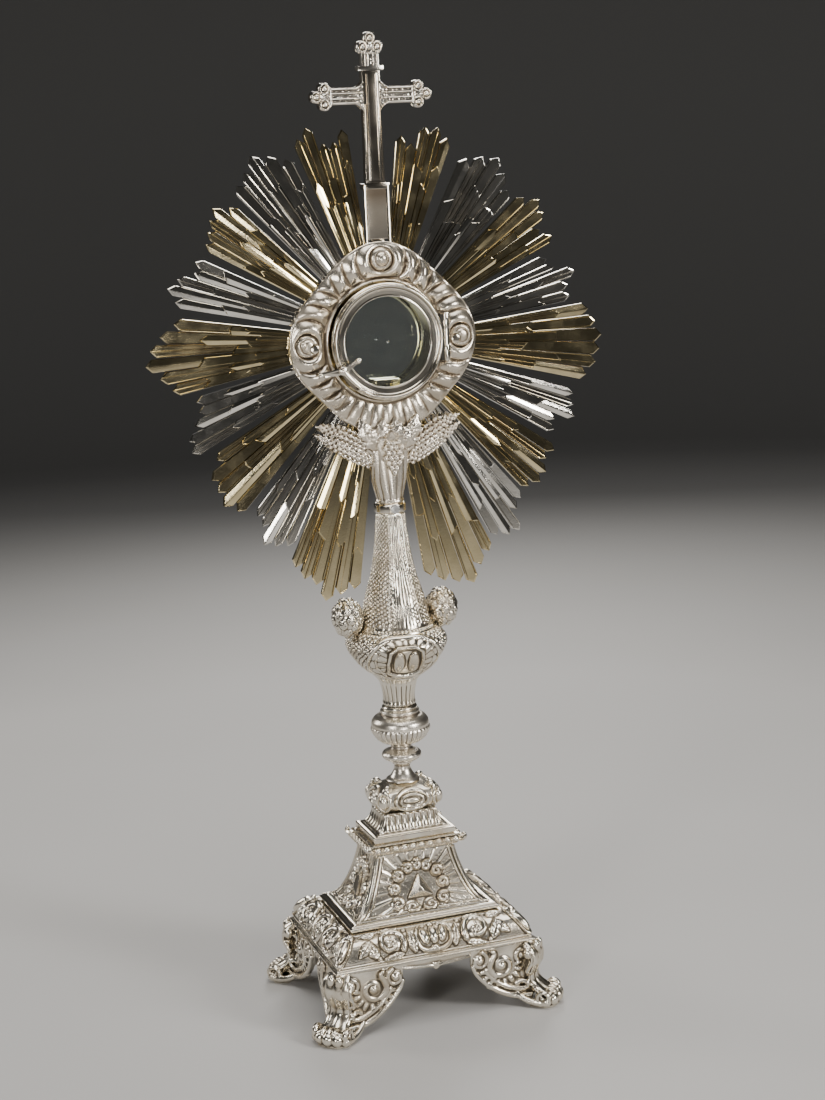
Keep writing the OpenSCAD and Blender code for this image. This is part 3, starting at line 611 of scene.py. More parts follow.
def tier(half_w, half_d, outer, inner, draw=None, k=1.0, corner=0.5, step=0.5, passes=2):
    """A rectangular moulding. outer and inner are (inset, z) points up its outside and its inside.

    k multiplies the insets of the depth. draw(side, x, s, z, edge) returns heights, where s is the
    way up the outside and edge the distance from the side's end.
    """
    profile = eased(outer, step, passes)
    inset, z = profile.T
    s = np.r_[0, np.cumsum(np.hypot(np.diff(inset), np.diff(z)))]
    rows = np.concatenate([profile, np.array(inner, float)[::-1]])
    blank = len(inner)
    arcs = np.linspace(0, 90, 5)[1:-1]
    loops = []
    for side in range(4):
        wide = side % 2 == 0
        half_along, half_out = (half_w, half_d) if wide else (half_d, half_w)
        k_along, k_out = (1.0, k) if wide else (k, 1.0)
        along, out = half_along - k_along * rows[:, :1] - corner, half_out - k_out * rows[:, :1]
        d_in, dz = k_out * np.gradient(inset), np.gradient(z)
        size = np.hypot(d_in, dz)
        n_out = np.r_[dz / size, np.zeros(blank)][:, None]
        n_up = np.r_[d_in / size, np.zeros(blank)][:, None]
        count = int(2 * half_along / step)
        t = np.linspace(-1, 1, count)[None]
        x = t * along
        h = np.zeros(x.shape)
        if draw is not None:
            n = len(profile)
            h[:n] = draw(side, x[:n], s[:, None], z[:, None], along[:n] + corner - np.abs(x[:n]))
        loops.append((side, x, out + h * n_out, rows[:, 1:] + h * n_up))
        turn = np.radians(arcs)[None]
        last = h[:, -1:]
        x_arc = along + (corner + last * n_out) * np.sin(turn)
        out_arc = out - corner + (corner + last * n_out) * np.cos(turn)
        loops.append((side, x_arc, out_arc, rows[:, 1:] + last * n_up + 0 * turn))
    columns = []
    for side, x, out, height in loops:
        dx, dy = [(1, 0), (0, 1), (-1, 0), (0, -1)][side]
        columns.append(np.stack([x * dx + out * dy, x * dy - out * dx, height + 0 * x], -1))
    return ring_solid(np.concatenate(columns, 1))


# ---------- base ----------

CORNICE_Z, FRIEZE_Z = heights("foot_front_left")[1], heights("base_frieze")[0]
# How long a foot's wings are, and how far in from the cornice's edge
WING_LENGTH, WING_IN = 48.0, 3.0
# The thickness of the base's raised sheet
SHEET = 1.6


def block(node):
    """Half the width and depth of a CAD node, and its lowest and highest Z, in millimetres."""
    low, high = box_mm(node)
    return high[0], high[1], low[2], high[2]


def apron(centre, along, half):
    """A panel that hangs from the cornice, with a shallow point at its middle."""
    hem_z, half_thick = 40, 1.1
    t = np.linspace(-1, 1, 60)
    low = hem_z + 2 * t**2 - 2.4 * bell(t * half, 0, 2.2)
    x, up = np.meshgrid(t * half, np.linspace(0, 1, 12), indexing="ij")
    z = low[:, None] + (CORNICE_Z + 0.8 - low[:, None]) * up
    r = Relief(x, z - low[:, None])
    r.raised(0.9 * bell(r.y, 1.2, 0.7))
    r.dome(0, 3.4, 2.4, 1.9, 1.2)
    front = half_thick + 0.8 * r.h
    depth = np.concatenate([front, np.full_like(front, -half_thick)], 1)
    x, z = np.concatenate([x, x[:, ::-1]], 1), np.concatenate([z, z[:, ::-1]], 1)
    along = np.array(along, float)
    out = np.array([along[1], -along[0]])
    flat = np.array(centre, float) + x[..., None] * along + depth[..., None] * out
    return loft(np.concatenate([flat, z[..., None]], -1), paired=True)


def make_lower_cornice():
    half_w, half_d = block("lower_cornice")[:2]
    outer = based(CORNICE_Z, [(8, 0), (2.6, 0), (1.0, 0.2), (0.1, 0.8), (0, 1.5), (0.5, 2.1), (1.7, 2.3)],
                  (2.2, FRIEZE_Z), (8, FRIEZE_Z))
    inner = [(8, CORNICE_Z + 0.8), (8, FRIEZE_Z - 0.8)]
    solids = [tier(half_w, half_d, outer, inner, corner=0.8, step=0.4, passes=1)]
    reach_w, reach_d = half_w - WING_IN - WING_LENGTH, half_d - WING_IN - WING_LENGTH
    for s in (1, -1):
        solids.append(apron((0, -s * (half_d - 5)), (s, 0), reach_w))
        solids.append(apron((s * (half_w - 5), 0), (0, s), reach_d))
    piece("lower_cornice_mould", solids, CHASED, ["lower_cornice"])


def frieze_ornament(side, x, s, z, edge):
    """Lobes or a rosette at the middle, C-scrolls and leaves, and a medallion on each corner."""
    length, mid = 26.0, 13.0
    r = Relief(np.abs(x), s - mid)
    if side % 2 == 0:
        r.dome(0, 1.5, 3.5, 7.2, 2.9).dome(6.9, 1.2, 3.1, 6.4, 2.6, turn=-12)
        frame = curve([(0, -9.6), (6, -9.4), (11.4, -6.4), (13.4, 0), (11.6, 6), (8.4, 9.4)], 26)
        r.stroke(frame, 1.7, 2.2, thin=0.7)
        r.dome(0, -8.2, 3.4, 2.0, 2.4).dome(0, 10.2, 2.0, 1.6, 1.8).dome(6, 9.6, 1.5, 1.4, 1.5)
        far = 33.0
    else:
        r.dome(0, 0, 7.4, 8.8, 1.0, ring=1.8)
        r.rosette(0, 0, 6.6, 2.9, 6)
        far = 27.0
    r.dome(far, 0.5, 8.0, 8.0, 1.6)
    r.stroke(spiral(far, 0.5, 10.8, 4.4, 215, -1.0, 40), 2.3, 2.8, thin=0.6)
    r.rosette(far, 0.5, 4.8, 2.7, 5, 20)
    for base, start, tip, width in ((0, (15, -9.5), (18.5, 7), 3.8), (far, (-9, -8.5), (7, -10.8), 2.8),
                                    (far, (-8, 9.6), (7, 11), 2.4), (far, (11, -9), (18, 4), 4.6),
                                    (far, (10, 8.4), (22, 9.6), 3.2), (far, (14, 3), (25, -7), 4.4)):
        r.leaf((start[0] + base, start[1]), (tip[0] + base, tip[1]), width, 2.3, 3)
    r.dome(far + 9.6, -9.8, 1.7, 1.7, 1.9).dome(far - 12.4, 8.8, 1.6, 1.6, 1.8)
    corner = Relief(edge, s)
    corner.dome(0, mid, 4.6, 8.2, 2.0, ring=1.9)
    corner.stroke([(0, mid - 6), (0, mid + 6)], 1.3, 2.6, thin=1)
    h = np.where(edge < 8.2, corner.h, r.h * smoothstep(edge, 7, 9.5))
    rim = 0.9 * (bell(s, 1.0, 0.7) + bell(s, length - 1.0, 0.7))
    ground = Relief(x, s + 0 * x)
    ground.h = np.maximum(h, rim)
    return ground.matting(1.1, 0.1, 3).h * smoothstep(s, 0, 0.5) * smoothstep(length + 1 - s, 0, 0.8)


def quarter(z, rise, angles):
    """Points round the frieze's quarter of an oval, which rises from z, as (inset, z)."""
    across = 16
    return [(across * (1 - math.cos(math.radians(a))), z + rise * math.sin(math.radians(a))) for a in angles]


def make_base_frieze():
    half_w, half_d, z0, z1 = block("base_frieze")
    roof = 1.4
    outer = quarter(z0, z1 - z0, range(0, 91, 10)) + [(27, z1)]
    inner = [(SHEET + a, z) for a, z in quarter(z0, z1 - z0 - roof, range(15, 91, 25))]
    inner = [(SHEET, z0)] + inner + [(27, z1 - roof)]
    shell = tier(half_w, half_d, outer, inner, frieze_ornament, corner=0.9, step=0.42)
    piece("base_frieze_chasing", [shell], CHASED, ["base_frieze"])


def make_middle_cornice():
    half_w, half_d, z0, z1 = block("middle_cornice")
    outer = based(z0, [(10, 0), (2.8, 0), (1.2, 0.6), (0.2, 1.2), (0, 2.4), (0.2, 3.2), (1.8, 3.6),
                       (2.0, 4.4)], (4.2, z1 - 0.1), (10, z1))
    inner = [(10, z0 + 0.5), (10, z1 - 0.5)]
    solid = tier(half_w, half_d, outer, inner, corner=0.7, step=0.45, passes=1)
    piece("middle_cornice_mould", [solid], POLISHED, ["middle_cornice"])


def pyramid_profile(z0, z1):
    """Points up the hollow outline of the pyramid, as (inset, z)."""
    points = []
    for i in range(33):
        a = math.radians(i * 90 / 32)
        points.append((22 * math.sin(a) * (1 - 0.12 * math.sin(2 * a)),
                       z0 + (z1 - z0) * (1 - math.cos(a) * (1 - i / 160))))
    return points


def pyramid_ornament(side, x, s, z, edge):
    """A smooth triangle in a wreath of scrolled clouds, with rays to the corners of the panel."""
    length, mid = 50.0, 22.5
    wide = 1.0 if side % 2 == 0 else 0.66
    r = Relief(np.abs(x) / wide, s - mid)
    away = np.hypot(r.x, r.y)
    angle = np.arctan2(r.y, r.x)
    r.raised(0.7 * np.maximum(np.cos(angle * 24), 0) * smoothstep(away, 20, 22) * (edge > 6))
    for cx, cy, size, turn in ((7.2, -14.6, 6.0, 200), (17.6, -10.4, 5.4, 60), (18.4, 1.6, 4.6, 320),
                               (14.6, 10.6, 4.8, 20), (7.4, 15.6, 4.4, 60), (0, 17.4, 4.6, 90)):
        r.dome(cx, cy, size, size, 1.7)
        r.stroke(spiral(cx, cy, size - 0.8, 1.2, turn, 1.1, 30), 1.9, 2.9, thin=0.75)
    side_way = 0.87 * r.x + 0.5 * r.y - 5.0
    inside = np.minimum(-side_way, r.y + 7.2)
    r.raised(np.clip(1.8 + 0.6 * inside, 0, 4.4) * (inside > 0))
    r.leaf((25, -19), (37, -20.5), 2.6, 1.4)
    for at, height in ((1.3, 1.1), (4.2, 0.8)):
        r.raised(height * bulge(edge - at))
        r.raised(height * bulge(s - at) * (edge > at - 1))
    return r.matting(1.1, 0.14, 5).h * smoothstep(s, 0, 0.4) * smoothstep(length - s, 0, 0.8)


def make_pyramid():
    half_w, half_d, z0, z1 = block("pyramid_shell")
    roof = z1 - 2.5
    profile = pyramid_profile(z0, z1)
    inner = [(a + SHEET, min(b, roof)) for a, b in profile[:-3:6]] + [(24, roof), (34, roof)]
    shell = tier(half_w, half_d, profile + [(34, z1)], inner, pyramid_ornament, k=0.64, corner=0.6,
                 step=0.42)
    piece("pyramid_chasing", [shell], CHASED, ["pyramid_shell"])


def bead_row(start, end, count):
    """Oval beads in a row along X or Y, with a small one between each two."""
    along = (np.array(end) - start) / (count - 1)
    axes = lean(0) if abs(along[0]) > 1e-6 else [(0, 1, 0), (-1, 0, 0), (0, 0, 1)]
    row = []
    for i in range(count):
        centre = np.array(start) + along * i
        row.append(blob(centre, (2.9, 2.4, 2.3), axes, 10, 14))
        if i < count - 1:
            row.append(blob(centre + along / 2, (0.9, 2.0, 1.9), rings=10, sides=14))
    return row


def make_beaded_plate():
    half_w, half_d, z0, z1 = block("beaded_plate")
    outer = based(z0, [(24, 0), (8, 0), (6, 0.6), (5.2, 1.8), (5.0, 2.8), (5.0, 7.2), (3.8, 7.6), (3.8, 8.6)],
                  (6, z1), (24, z1))
    solids = [tier(half_w, half_d, outer, [(24, z0 + 1), (24, z1 - 1)], corner=0.8, passes=1)]
    z = z0 + 5.2
    w, d = half_w - 2.4, half_d - 2.4
    for s in (1, -1):
        solids += bead_row((-w + 6, -s * d, z), (w - 6, -s * d, z), 10)
        solids += bead_row((s * w, 6 - d, z), (s * w, d - 6, z), 7)
        for t in (1, -1):
            diagonal = np.array([s * 0.75, t * 0.66, 0.0])
            root = np.array([s * (w - 4), t * (d - 3.5), z])
            path = [root + diagonal * a + np.array([0, 0, b])
                    for a, b in ((0, -1), (3.5, -0.6), (6.2, 0.6), (7.0, 2.4), (5.6, 3.2))]
            thick = np.interp(np.arange(16), [0, 8, 15], [2.6, 2.2, 1.0])
            solids.append(tube(curve(path, 16), thick, 10, 0.7, (0, 0, 1)))
            solids.append(ball(root + diagonal * 6 + [0, 0, 2.9], 1.7))
    piece("beaded_plate_rim", solids, CHASED, ["beaded_plate"])


def make_plinth():
    half_w, half_d, z0, z1 = block("fluted_plinth")
    flat = z0 + 5
    turns = [math.radians(a) for a in range(0, 91, 10)]
    cove = [(3.4 + 8 * math.sin(a), z1 - (z1 - flat - 0.6) * math.cos(a)) for a in turns]

    def flutes(side, x, s, z, edge):
        band = smoothstep(z, flat + 1.0, flat + 2.0) * smoothstep(z1 - 0.6 - z, 0, 1.0)
        wave = np.abs(np.cos(x / 5.0 * math.pi)) ** 0.6
        return 1.3 * wave * band * smoothstep(edge, 0.8, 2.2) + 0.5 * bell(edge, 0.5, 0.6) * band

    outer = [(20, z0), (1.2, z0), (0, z0 + 0.8), (0, flat - 0.6), (0.5, flat), (3.0, flat)] + cove
    solid = tier(half_w, half_d, outer + [(20, z1)], [(20, z0 + 1), (20, z1 - 1)], flutes, k=0.68,
                 step=0.4, passes=1)
    piece("fluted_plinth_flutes", [solid], CHASED, ["fluted_plinth"])


def make_capital():
    z0, z1 = heights("capital_block")
    mid = z0 + 9.5
    outer = based(z0, [(16, 0), (8.4, 0), (5.0, 1.4), (2.2, 3.8), (0.6, 6.8), (0, 9.5), (0.7, 12.6),
                       (2.8, 15.6), (6.0, 17.8)], (9.4, z1 - 1.4), (12.0, z1 - 0.2), (16, z1))
    turn = np.linspace(0, 2 * math.pi, 49)

    def cabochons(side, x, s, z, edge):
        """A big oval medallion: two rings round a smooth centre."""
        r = Relief(x, z + 0 * x - mid)
        wide = 1.0 if side % 2 == 0 else 0.72
        for half_x, half_z, width, height in ((12.4, 6.8, 1.25, 2.1), (8.6, 4.1, 1.0, 2.0)):
            oval = np.stack([half_x * wide * np.sin(turn), half_z * np.cos(turn)], 1)
            r.stroke(oval, width, height, thin=1)
        r.dome(0, 0, 6.0 * wide, 2.0, 1.7)
        return r.h * smoothstep(r.y, -9.4, -8.4)

    half_w, half_d, corner = 24.0, 19.0, 8.0
    solids = [tier(half_w, half_d, outer, [(16, z0 + 1), (16, z1 - 1)], cabochons, corner=corner, step=0.45)]
    inset, level = np.array(outer).T
    round_way = np.linspace(0, 2 * math.pi, 41)
    curl_x, curl_y, curl_z = 16.4, 12.2, mid + 6.4
    for sx in (1, -1):
        for sy in (1, -1):
            def on_corner(lateral, up, lift):
                """Points on the rounded corner, lateral mm round it and up mm over its middle."""
                reach = corner - np.interp(mid + up, level, inset) + lift
                angle = math.pi / 4 + np.asarray(lateral) / corner
                return np.stack([sx * (half_w - corner + reach * np.cos(angle)),
                                 sy * (half_d - corner + reach * np.sin(angle)), mid + up], -1)

            normal = (sx * 0.707, sy * 0.707, 0)
            ring = on_corner(5.6 * np.sin(round_way), 7.4 * np.cos(round_way), 0.5)
            solids.append(tube(ring, 1.05, 12, 1.0, normal))
            axes = [(-sx * 0.707, sy * 0.707, 0), normal, (0, 0, 1)]
            solids.append(blob(on_corner(0, 0, -0.2), (3.3, 2.8, 5.0), axes, 14, 20))
            out, rise = spiral(0, 0, 5.0, 2.4, 250, 0.95, 34).T
            path = np.stack([sx * (curl_x + 0.72 * out), sy * (curl_y + 0.69 * out), curl_z + rise], 1)
            solids.append(tube(path, np.linspace(1.4, 1.1, 34), 12, 1.9, (-sx * 0.69, sy * 0.72, 0)))
            solids.append(ball((sx * curl_x, sy * curl_y, curl_z), 1.7, 10, 14))
    piece("capital_cabochons", solids, BRIGHT, ["capital_block"], sharp=60)


def foot_wing(in_front, half_w, half_d):
    """One wing of a foot, with its scrolls: the front one or the side one."""
    solids = []
    # The lower edge of a wing: how far along it, and its z there
    edge_a = [0, 12, 23, 34, 42, 47, 48.5]
    edge_z = [7, 7.5, 10.5, 16.5, 23.5, 31, 38]

    def flare(a, z):
        """How far the wing sweeps out at its foot, by its corner."""
        return 7.5 * np.clip(1 - z / 34, 0, 1)**1.6 * np.exp(-(a / 26)**2)

    front = (0, -1, 0) if in_front else (1, 0, 0)

    def place(a, out, z):
        """A point on a wing: a along it from the corner, out from its face, and z."""
        return (half_w - a, -(half_d + out), z) if in_front else (half_w + out, -(half_d - a), z)

    def on_wing(points, lift):
        """Points on the wing's face from (a, z) ones, lifted off it."""
        a, z = np.asarray(points, float).T
        return np.stack(place(a, flare(a, z) + lift, z), 1)

    def scroll(cx, cz, r0, start, turns, thick, middle):
        path = on_wing(spiral(cx, cz, r0, r0 * 0.25, start, turns, 36), 1.2)
        solids.append(tube(path, np.linspace(thick, thick * 0.6, 36), 9, 1.1, front))
        solids.append(ball(place(cx, flare(cx, cz) + 1.4, cz), middle))

    def cord(points, lift, radii, flat=1.0):
        solids.append(tube(on_wing(curve(points, len(radii)), lift), radii, 9, flat, front))

    def lobe(a, z, lift, radii, angle, flip=1):
        """An oval on the face of the wing, with its long side at an angle."""
        p, faces = blob((0, 0, 0), radii, lean(angle))
        p = p * [flip, 1, 1] if in_front else np.stack([-p[:, 1], p[:, 0], p[:, 2]], 1)
        solids.append((p + place(a, flare(a, z) + lift, z), faces))

    a = np.linspace(1.0, WING_LENGTH, 34)[:, None]
    low = np.interp(a, edge_a, edge_z)
    up = np.linspace(0, 1, 14)
    z = low + (CORNICE_Z - 0.1 - low) * up
    out = flare(a, z)
    swell = 2.2 * np.sin(math.pi * np.clip((a - 2) / 46, 0, 1)) * np.sin(math.pi * up)
    loop_z = np.concatenate([z, z[:, ::-1]], 1)
    loop_out = np.concatenate([out + 0.6 + swell, out[:, ::-1] - 2.4], 1)
    solids.append(loft(np.stack(place(a + 0 * loop_z, loop_out, loop_z), -1)))
    scroll(41.5, 38.6, 7.0, 100, 1.3, 2.0, 3.0)
    scroll(24.5, 32.5, 10.4, 60, -1.4, 2.6, 3.6)
    scroll(8.5, 38, 5.2, 300, 1.2, 1.6, 2.2)
    cord([(3, 7.2), (14, 8.2), (24, 11.5), (33, 17), (40, 23.5), (45, 30), (47.5, 36)], 1.2,
         np.interp(np.arange(40), [0, 12, 39], [2.8, 2.5, 1.5]))
    cord([(4, 14), (13, 13.6), (22, 16.5), (30, 21.5), (36, 28), (38, 32)], 2.4,
         np.linspace(2.1, 1.3, 34))
    cord([(33, 45), (30, 42.5), (33, 37), (34, 30), (29, 24)], 2.6,
         np.interp(np.arange(24), [0, 12, 23], [1.2, 2.6, 1.4]), 0.8)
    for i, (a, z) in enumerate(((33, 25), (28, 21.5), (36.5, 30), (14, 12), (31, 29))):
        lobe(a, z, 1.0, (3.6, 2.0, 2.0), -140 if i % 2 else -115)
    for i in range(9):
        turn = math.radians(170 + 23 * i)
        a, z = 24.5 + 13.6 * math.cos(turn), 30.5 + 11.4 * math.sin(turn)
        if np.interp(a, edge_a, edge_z) + 2 < z < CORNICE_Z - 3:
            lobe(a, z, 1.6, (3.4, 1.7, 1.7), math.degrees(turn), -1)
    for i in range(5):
        a = 10 + 6.3 * i
        z = np.interp(a, edge_a, edge_z) - 0.4
        solids.append(ball(place(a, flare(a, z) + 0.4, z), 2.0))
    return solids


def foot_leaf(half_w, half_d):
    """The ribbed, S-shaped leaf down a foot's corner, its toe and the stems beside it."""
    solids = []
    diagonal = np.array([math.cos(math.radians(41)), -math.sin(math.radians(41)), 0])
    across = np.array([diagonal[1], -diagonal[0], 0])
    upward = np.array([0, 0, 1])
    root = np.array([half_w - 1.0, -(half_d - 1.0), 0])
    spine = curve([(-2, 46.5), (2.2, 42), (4.6, 36.5), (3.2, 30), (1.4, 23.5), (2.6, 16.5), (8.5, 10.5),
                   (15, 7.5), (19.5, 8)], 60)
    t = np.linspace(0, 1, 60)
    wide = np.interp(t, [0, 0.12, 0.3, 0.5, 0.7, 0.88, 1], [8.6, 10.6, 10.8, 8.4, 8.6, 11.6, 10.0])
    thick = np.interp(t, [0, 0.12, 0.3, 0.5, 0.75, 1], [3.0, 4.6, 4.4, 3.6, 4.4, 4.2])
    tangent = np.gradient(spine, axis=0)
    tangent /= np.linalg.norm(tangent, axis=1, keepdims=True)
    a = full_turn(48)
    ribs = 1 + 0.2 * np.abs(np.sin(a * 4.5 + math.pi / 2)) * (np.sin(a) > 0)
    side = (wide[:, None] * np.cos(a) * ribs)[..., None]
    lift = (thick[:, None] * np.sin(a) * ribs)[..., None]
    normal = np.stack([-tangent[:, 1], tangent[:, 0]], 1)
    if normal[20, 0] < 0:
        normal = -normal
    centre = root + spine[:, :1] * diagonal + spine[:, 1:] * upward
    rise = normal[:, :1] * diagonal + normal[:, 1:] * upward
    solids.append(loft(centre[:, None] + side * across + lift * rise[:, None]))

    def at(d, lateral, z):
        """A point d out along the diagonal, lateral across it, and z."""
        return root + diagonal * d + across * lateral + np.array([0, 0, z])

    # The toe: a curled row of knuckles with a flat sole under it
    for lateral, d, r in ((0, 20.0, 4.8), (-6.8, 19.0, 4.4), (6.8, 19.0, 4.4), (-12.4, 16.0, 3.6),
                          (12.4, 16.0, 3.6)):
        solids.append(ball(at(d, lateral, r + 1.4), r, 10, 14))
    for lateral in (-4.4, 0, 4.4):
        toe = ((12, 1, 9.5), (16, 1.1, 11.8), (19.6, 1.1, 11.2), (20.6, 1.0, 8.6))
        solids.append(taper([at(d, lateral * w, z) for d, w, z in toe], 16, 1.7, 1.7, 9, 1.0, across))
    sole = [at(d, lateral, z) for z in (0, 2.4) for d, lateral in
            ((3, -11.5), (14, -13), (20.5, -8.5), (21.8, 0), (20.5, 8.5), (14, 13), (3, 11.5))]
    solids.append(loft(np.array(sole).reshape(2, 7, 3)))
    # Beside the leaf: a stem that curls at its top, a volute, and lobes
    stem = ((16, 12.2, 4.2), (9, 13.0, 4.0), (2, 13.6, 5.5), (-5, 13.4, 9.0), (-8, 12.0, 14.5),
            (-4, 10.6, 19), (1, 10.0, 18), (1.4, 9.6, 14.5))
    curl = ((5.6, 4.5, 39), (5.4, 8.4, 35.6), (3.2, 10.6, 30.5), (1.2, 10.2, 26), (2.8, 8.0, 24.5),
            (4.4, 7.6, 27))
    for s in (-1, 1):
        solids.append(taper([at(d, s * w, z) for d, w, z in stem], 44, 2.8, 1.5, 9, 1.0, across))
        solids.append(blob(at(2, s * 9.6, 40), (3.4, 3.4, 4.2)))
        out, rise = spiral(14.6, 8.0, 6.2, 1.6, 250, -1.3, 34).T
        volute = root + out[:, None] * diagonal + s * 12.6 * across + rise[:, None] * upward
        solids.append(tube(volute, np.linspace(1.9, 1.3, 34), 9, 1.3, across))
        for lateral, z in ((3.2, 44.0), (4.4, 33.5)):
            solids.append(blob(at(6.4, s * lateral, z), (3.0, 3.0, 4.6)))
        solids.append(taper([at(d, s * w, z) for d, w, z in curl], 30, 2.0, 1.2, 9, 1.0, across))
    return solids


def foot_solids():
    """One cast foot in the corner (+X, towards the front), as overlapping solids."""
    half_w, half_d = (half - WING_IN for half in block("lower_cornice")[:2])
    return foot_wing(True, half_w, half_d) + foot_wing(False, half_w, half_d) + foot_leaf(half_w, half_d)


def make_feet():
    points, faces = casting("foot_casting", foot_solids(), 0.6)
    points[:, 2] = np.maximum(points[:, 2], 0)
    for name, sx, sy in (("foot_front_right", 1, 1), ("foot_front_left", -1, 1),
                         ("foot_rear_right", 1, -1), ("foot_rear_left", -1, -1)):
        piece(name + "_scrolls", [(points * [sx, sy, 1], faces)], CHASED, [name], sharp=80)


make_lower_cornice()
make_base_frieze()
make_middle_cornice()
make_pyramid()
make_beaded_plate()
make_plinth()
make_capital()
make_feet()


# ---------- stem ----------

SPOOL_Z, KNOP_Z = heights("lower_spool")
FLUTE_Z, VASE_Z = heights("fluted_neck")
SLEEVE_Z = heights("vase_node")[1]
COLLAR_Z, SOCKET_Z = heights("upper_collar")
NECK_FLUTES = 10
# How far the vase stands turned on its axis in the photograph, in radians
VASE_TURN = 0.12


def make_spool():
    profile = based(SPOOL_Z, [(12.4, 0), (12.2, 0.7), (9.6, 2.2), (7.6, 5), (6.2, 8), (5.8, 11), (7.4, 12.6),
                              (8.3, 13.6), (7.9, 14.6), (10.2, 15.2), (13, 16.2), (14.5, 18), (14.5, 19.8),
                              (13, 21.6), (10, 22.8), (8.0, 23.8), (7.4, 25.2), (7.6, 26.4)], (8.6, KNOP_Z))

    def facets(x, y, angle):
        return 0.35 * np.abs(np.cos(4 * angle)) * bell(y, SPOOL_Z + 18.9, 3)

    piece("lower_spool_turned", [lathe(profile, facets, passes=2)], BRUSHED, ["lower_spool"])


def make_knop():
    z = KNOP_Z
    profile = based(z, [(8.6, 0), (10.5, 0.8), (14.6, 2.8), (17.9, 5.6), (20.0, 9.0), (21.1, 12.6),
                        (21.3, 15.2), (20.7, 17.6), (19.0, 19.8), (16.6, 21.2), (14.4, 21.9), (13.7, 22.8),
                        (14.3, 23.6), (14.6, 24.7), (13.6, 25.6)], (12.4, FLUTE_Z))

    def gadroons(x, y, angle):
        low = smoothstep(y, z + 1, z + 3) * smoothstep(z + 13.6 - y, 0, 2.0)
        return 1.3 * np.abs(np.cos(16 * angle)) ** 0.7 * low

    piece("knop_gadroons", [lathe(profile, gadroons, columns=320, step=0.4)], BRUSHED, ["knop"])


def flutes_round(angle):
    """The neck's round-backed flutes, which run up on to the vase."""
    return 1.1 * np.abs(np.cos(NECK_FLUTES * angle)) ** 0.6


def make_neck():
    profile = based(FLUTE_Z, [(12.4, 0), (13.2, 0.9), (12.8, 2.2), (11.4, 3.2), (10.7, 7), (10.6, 11),
                              (11.2, 15), (12.0, 18)], (12.8, VASE_Z))

    def flutes(x, y, angle):
        return flutes_round(angle) * smoothstep(y, FLUTE_Z + 3, FLUTE_Z + 4.6)

    piece("neck_flutes", [lathe(profile, flutes, columns=256)], CHASED, ["fluted_neck"])


def cartouche(x, y, angle):
    """A ribbed shell in a frame on the vase's front and rear, on a ground of pebbles."""
    near = (angle + VASE_TURN + math.pi / 2) % math.pi - math.pi / 2
    turned = np.abs(angle) > 1e-6
    r = np.where(turned, np.abs(x / np.where(turned, angle, 1)), 30)
    u = np.abs(near * np.maximum(r, 26) / 1.1)
    up = y - VASE_Z
    relief = Relief(u, up)
    frame = curve([(0, 38.4), (9, 38.2), (15, 36.4), (21.6, 31.8), (25.4, 24.6), (26.2, 16.5), (19, 9),
                   (8, 5.6), (0, 4.8)], 40)
    relief.stroke(frame, 1.5, 1.7, thin=0.85)
    inside = (u / 25)**2 + ((up - 21) / 16.6)**2 < 1
    fan = np.arctan2(up - 19, u - 2)
    boss = np.maximum(u / 11.8, np.abs(up - 20.6) / 11.4)
    relief.raised(0.8 * np.abs(np.cos(fan * 9)) ** 0.8 * inside * (boss > 1.1))
    relief.stroke([(0, 32.4), (6, 32.2), (10.6, 29), (11.6, 21), (10.6, 12.6), (6, 9.6), (0, 9.2)], 1.2,
                  2.3, thin=1)
    relief.dome(4.8, 21.2, 3.6, 8.4, 3.0)
    relief.stroke([(14.4, 12), (19, 16.5), (21, 23), (18, 29)], 1.0, 1.6)
    relief.leaf((2, 7.6), (11, 7.4), 1.6, 1.4)
    ground = 0.95 * pebbles(angle * 12, up / 2.8) * (1 - inside) * smoothstep(up, 7, 10)
    flutes = flutes_round(angle) * smoothstep(9 - up, 0, 5)
    h = np.maximum(relief.h * smoothstep(up, 1, 3), np.maximum(ground, flutes))
    return h * smoothstep(SLEEVE_Z - y, -0.2, 1.2)


def make_vase():
    profile = based(VASE_Z, [(12.8, 0), (13.4, 1.4), (15.6, 4.2), (19.6, 7.4), (24.2, 11.2), (28.4, 15.2),
                             (32, 19.8), (35, 24.6), (36.6, 28.6), (36.4, 31.6), (34.8, 34.4),
                             (32.4, 36.8)], (28.2, SLEEVE_Z))
    shell = lathe(profile, cartouche, columns=560, step=0.42, passes=2)
    piece("vase_cartouches", [shell], CHASED, ["vase_node"])


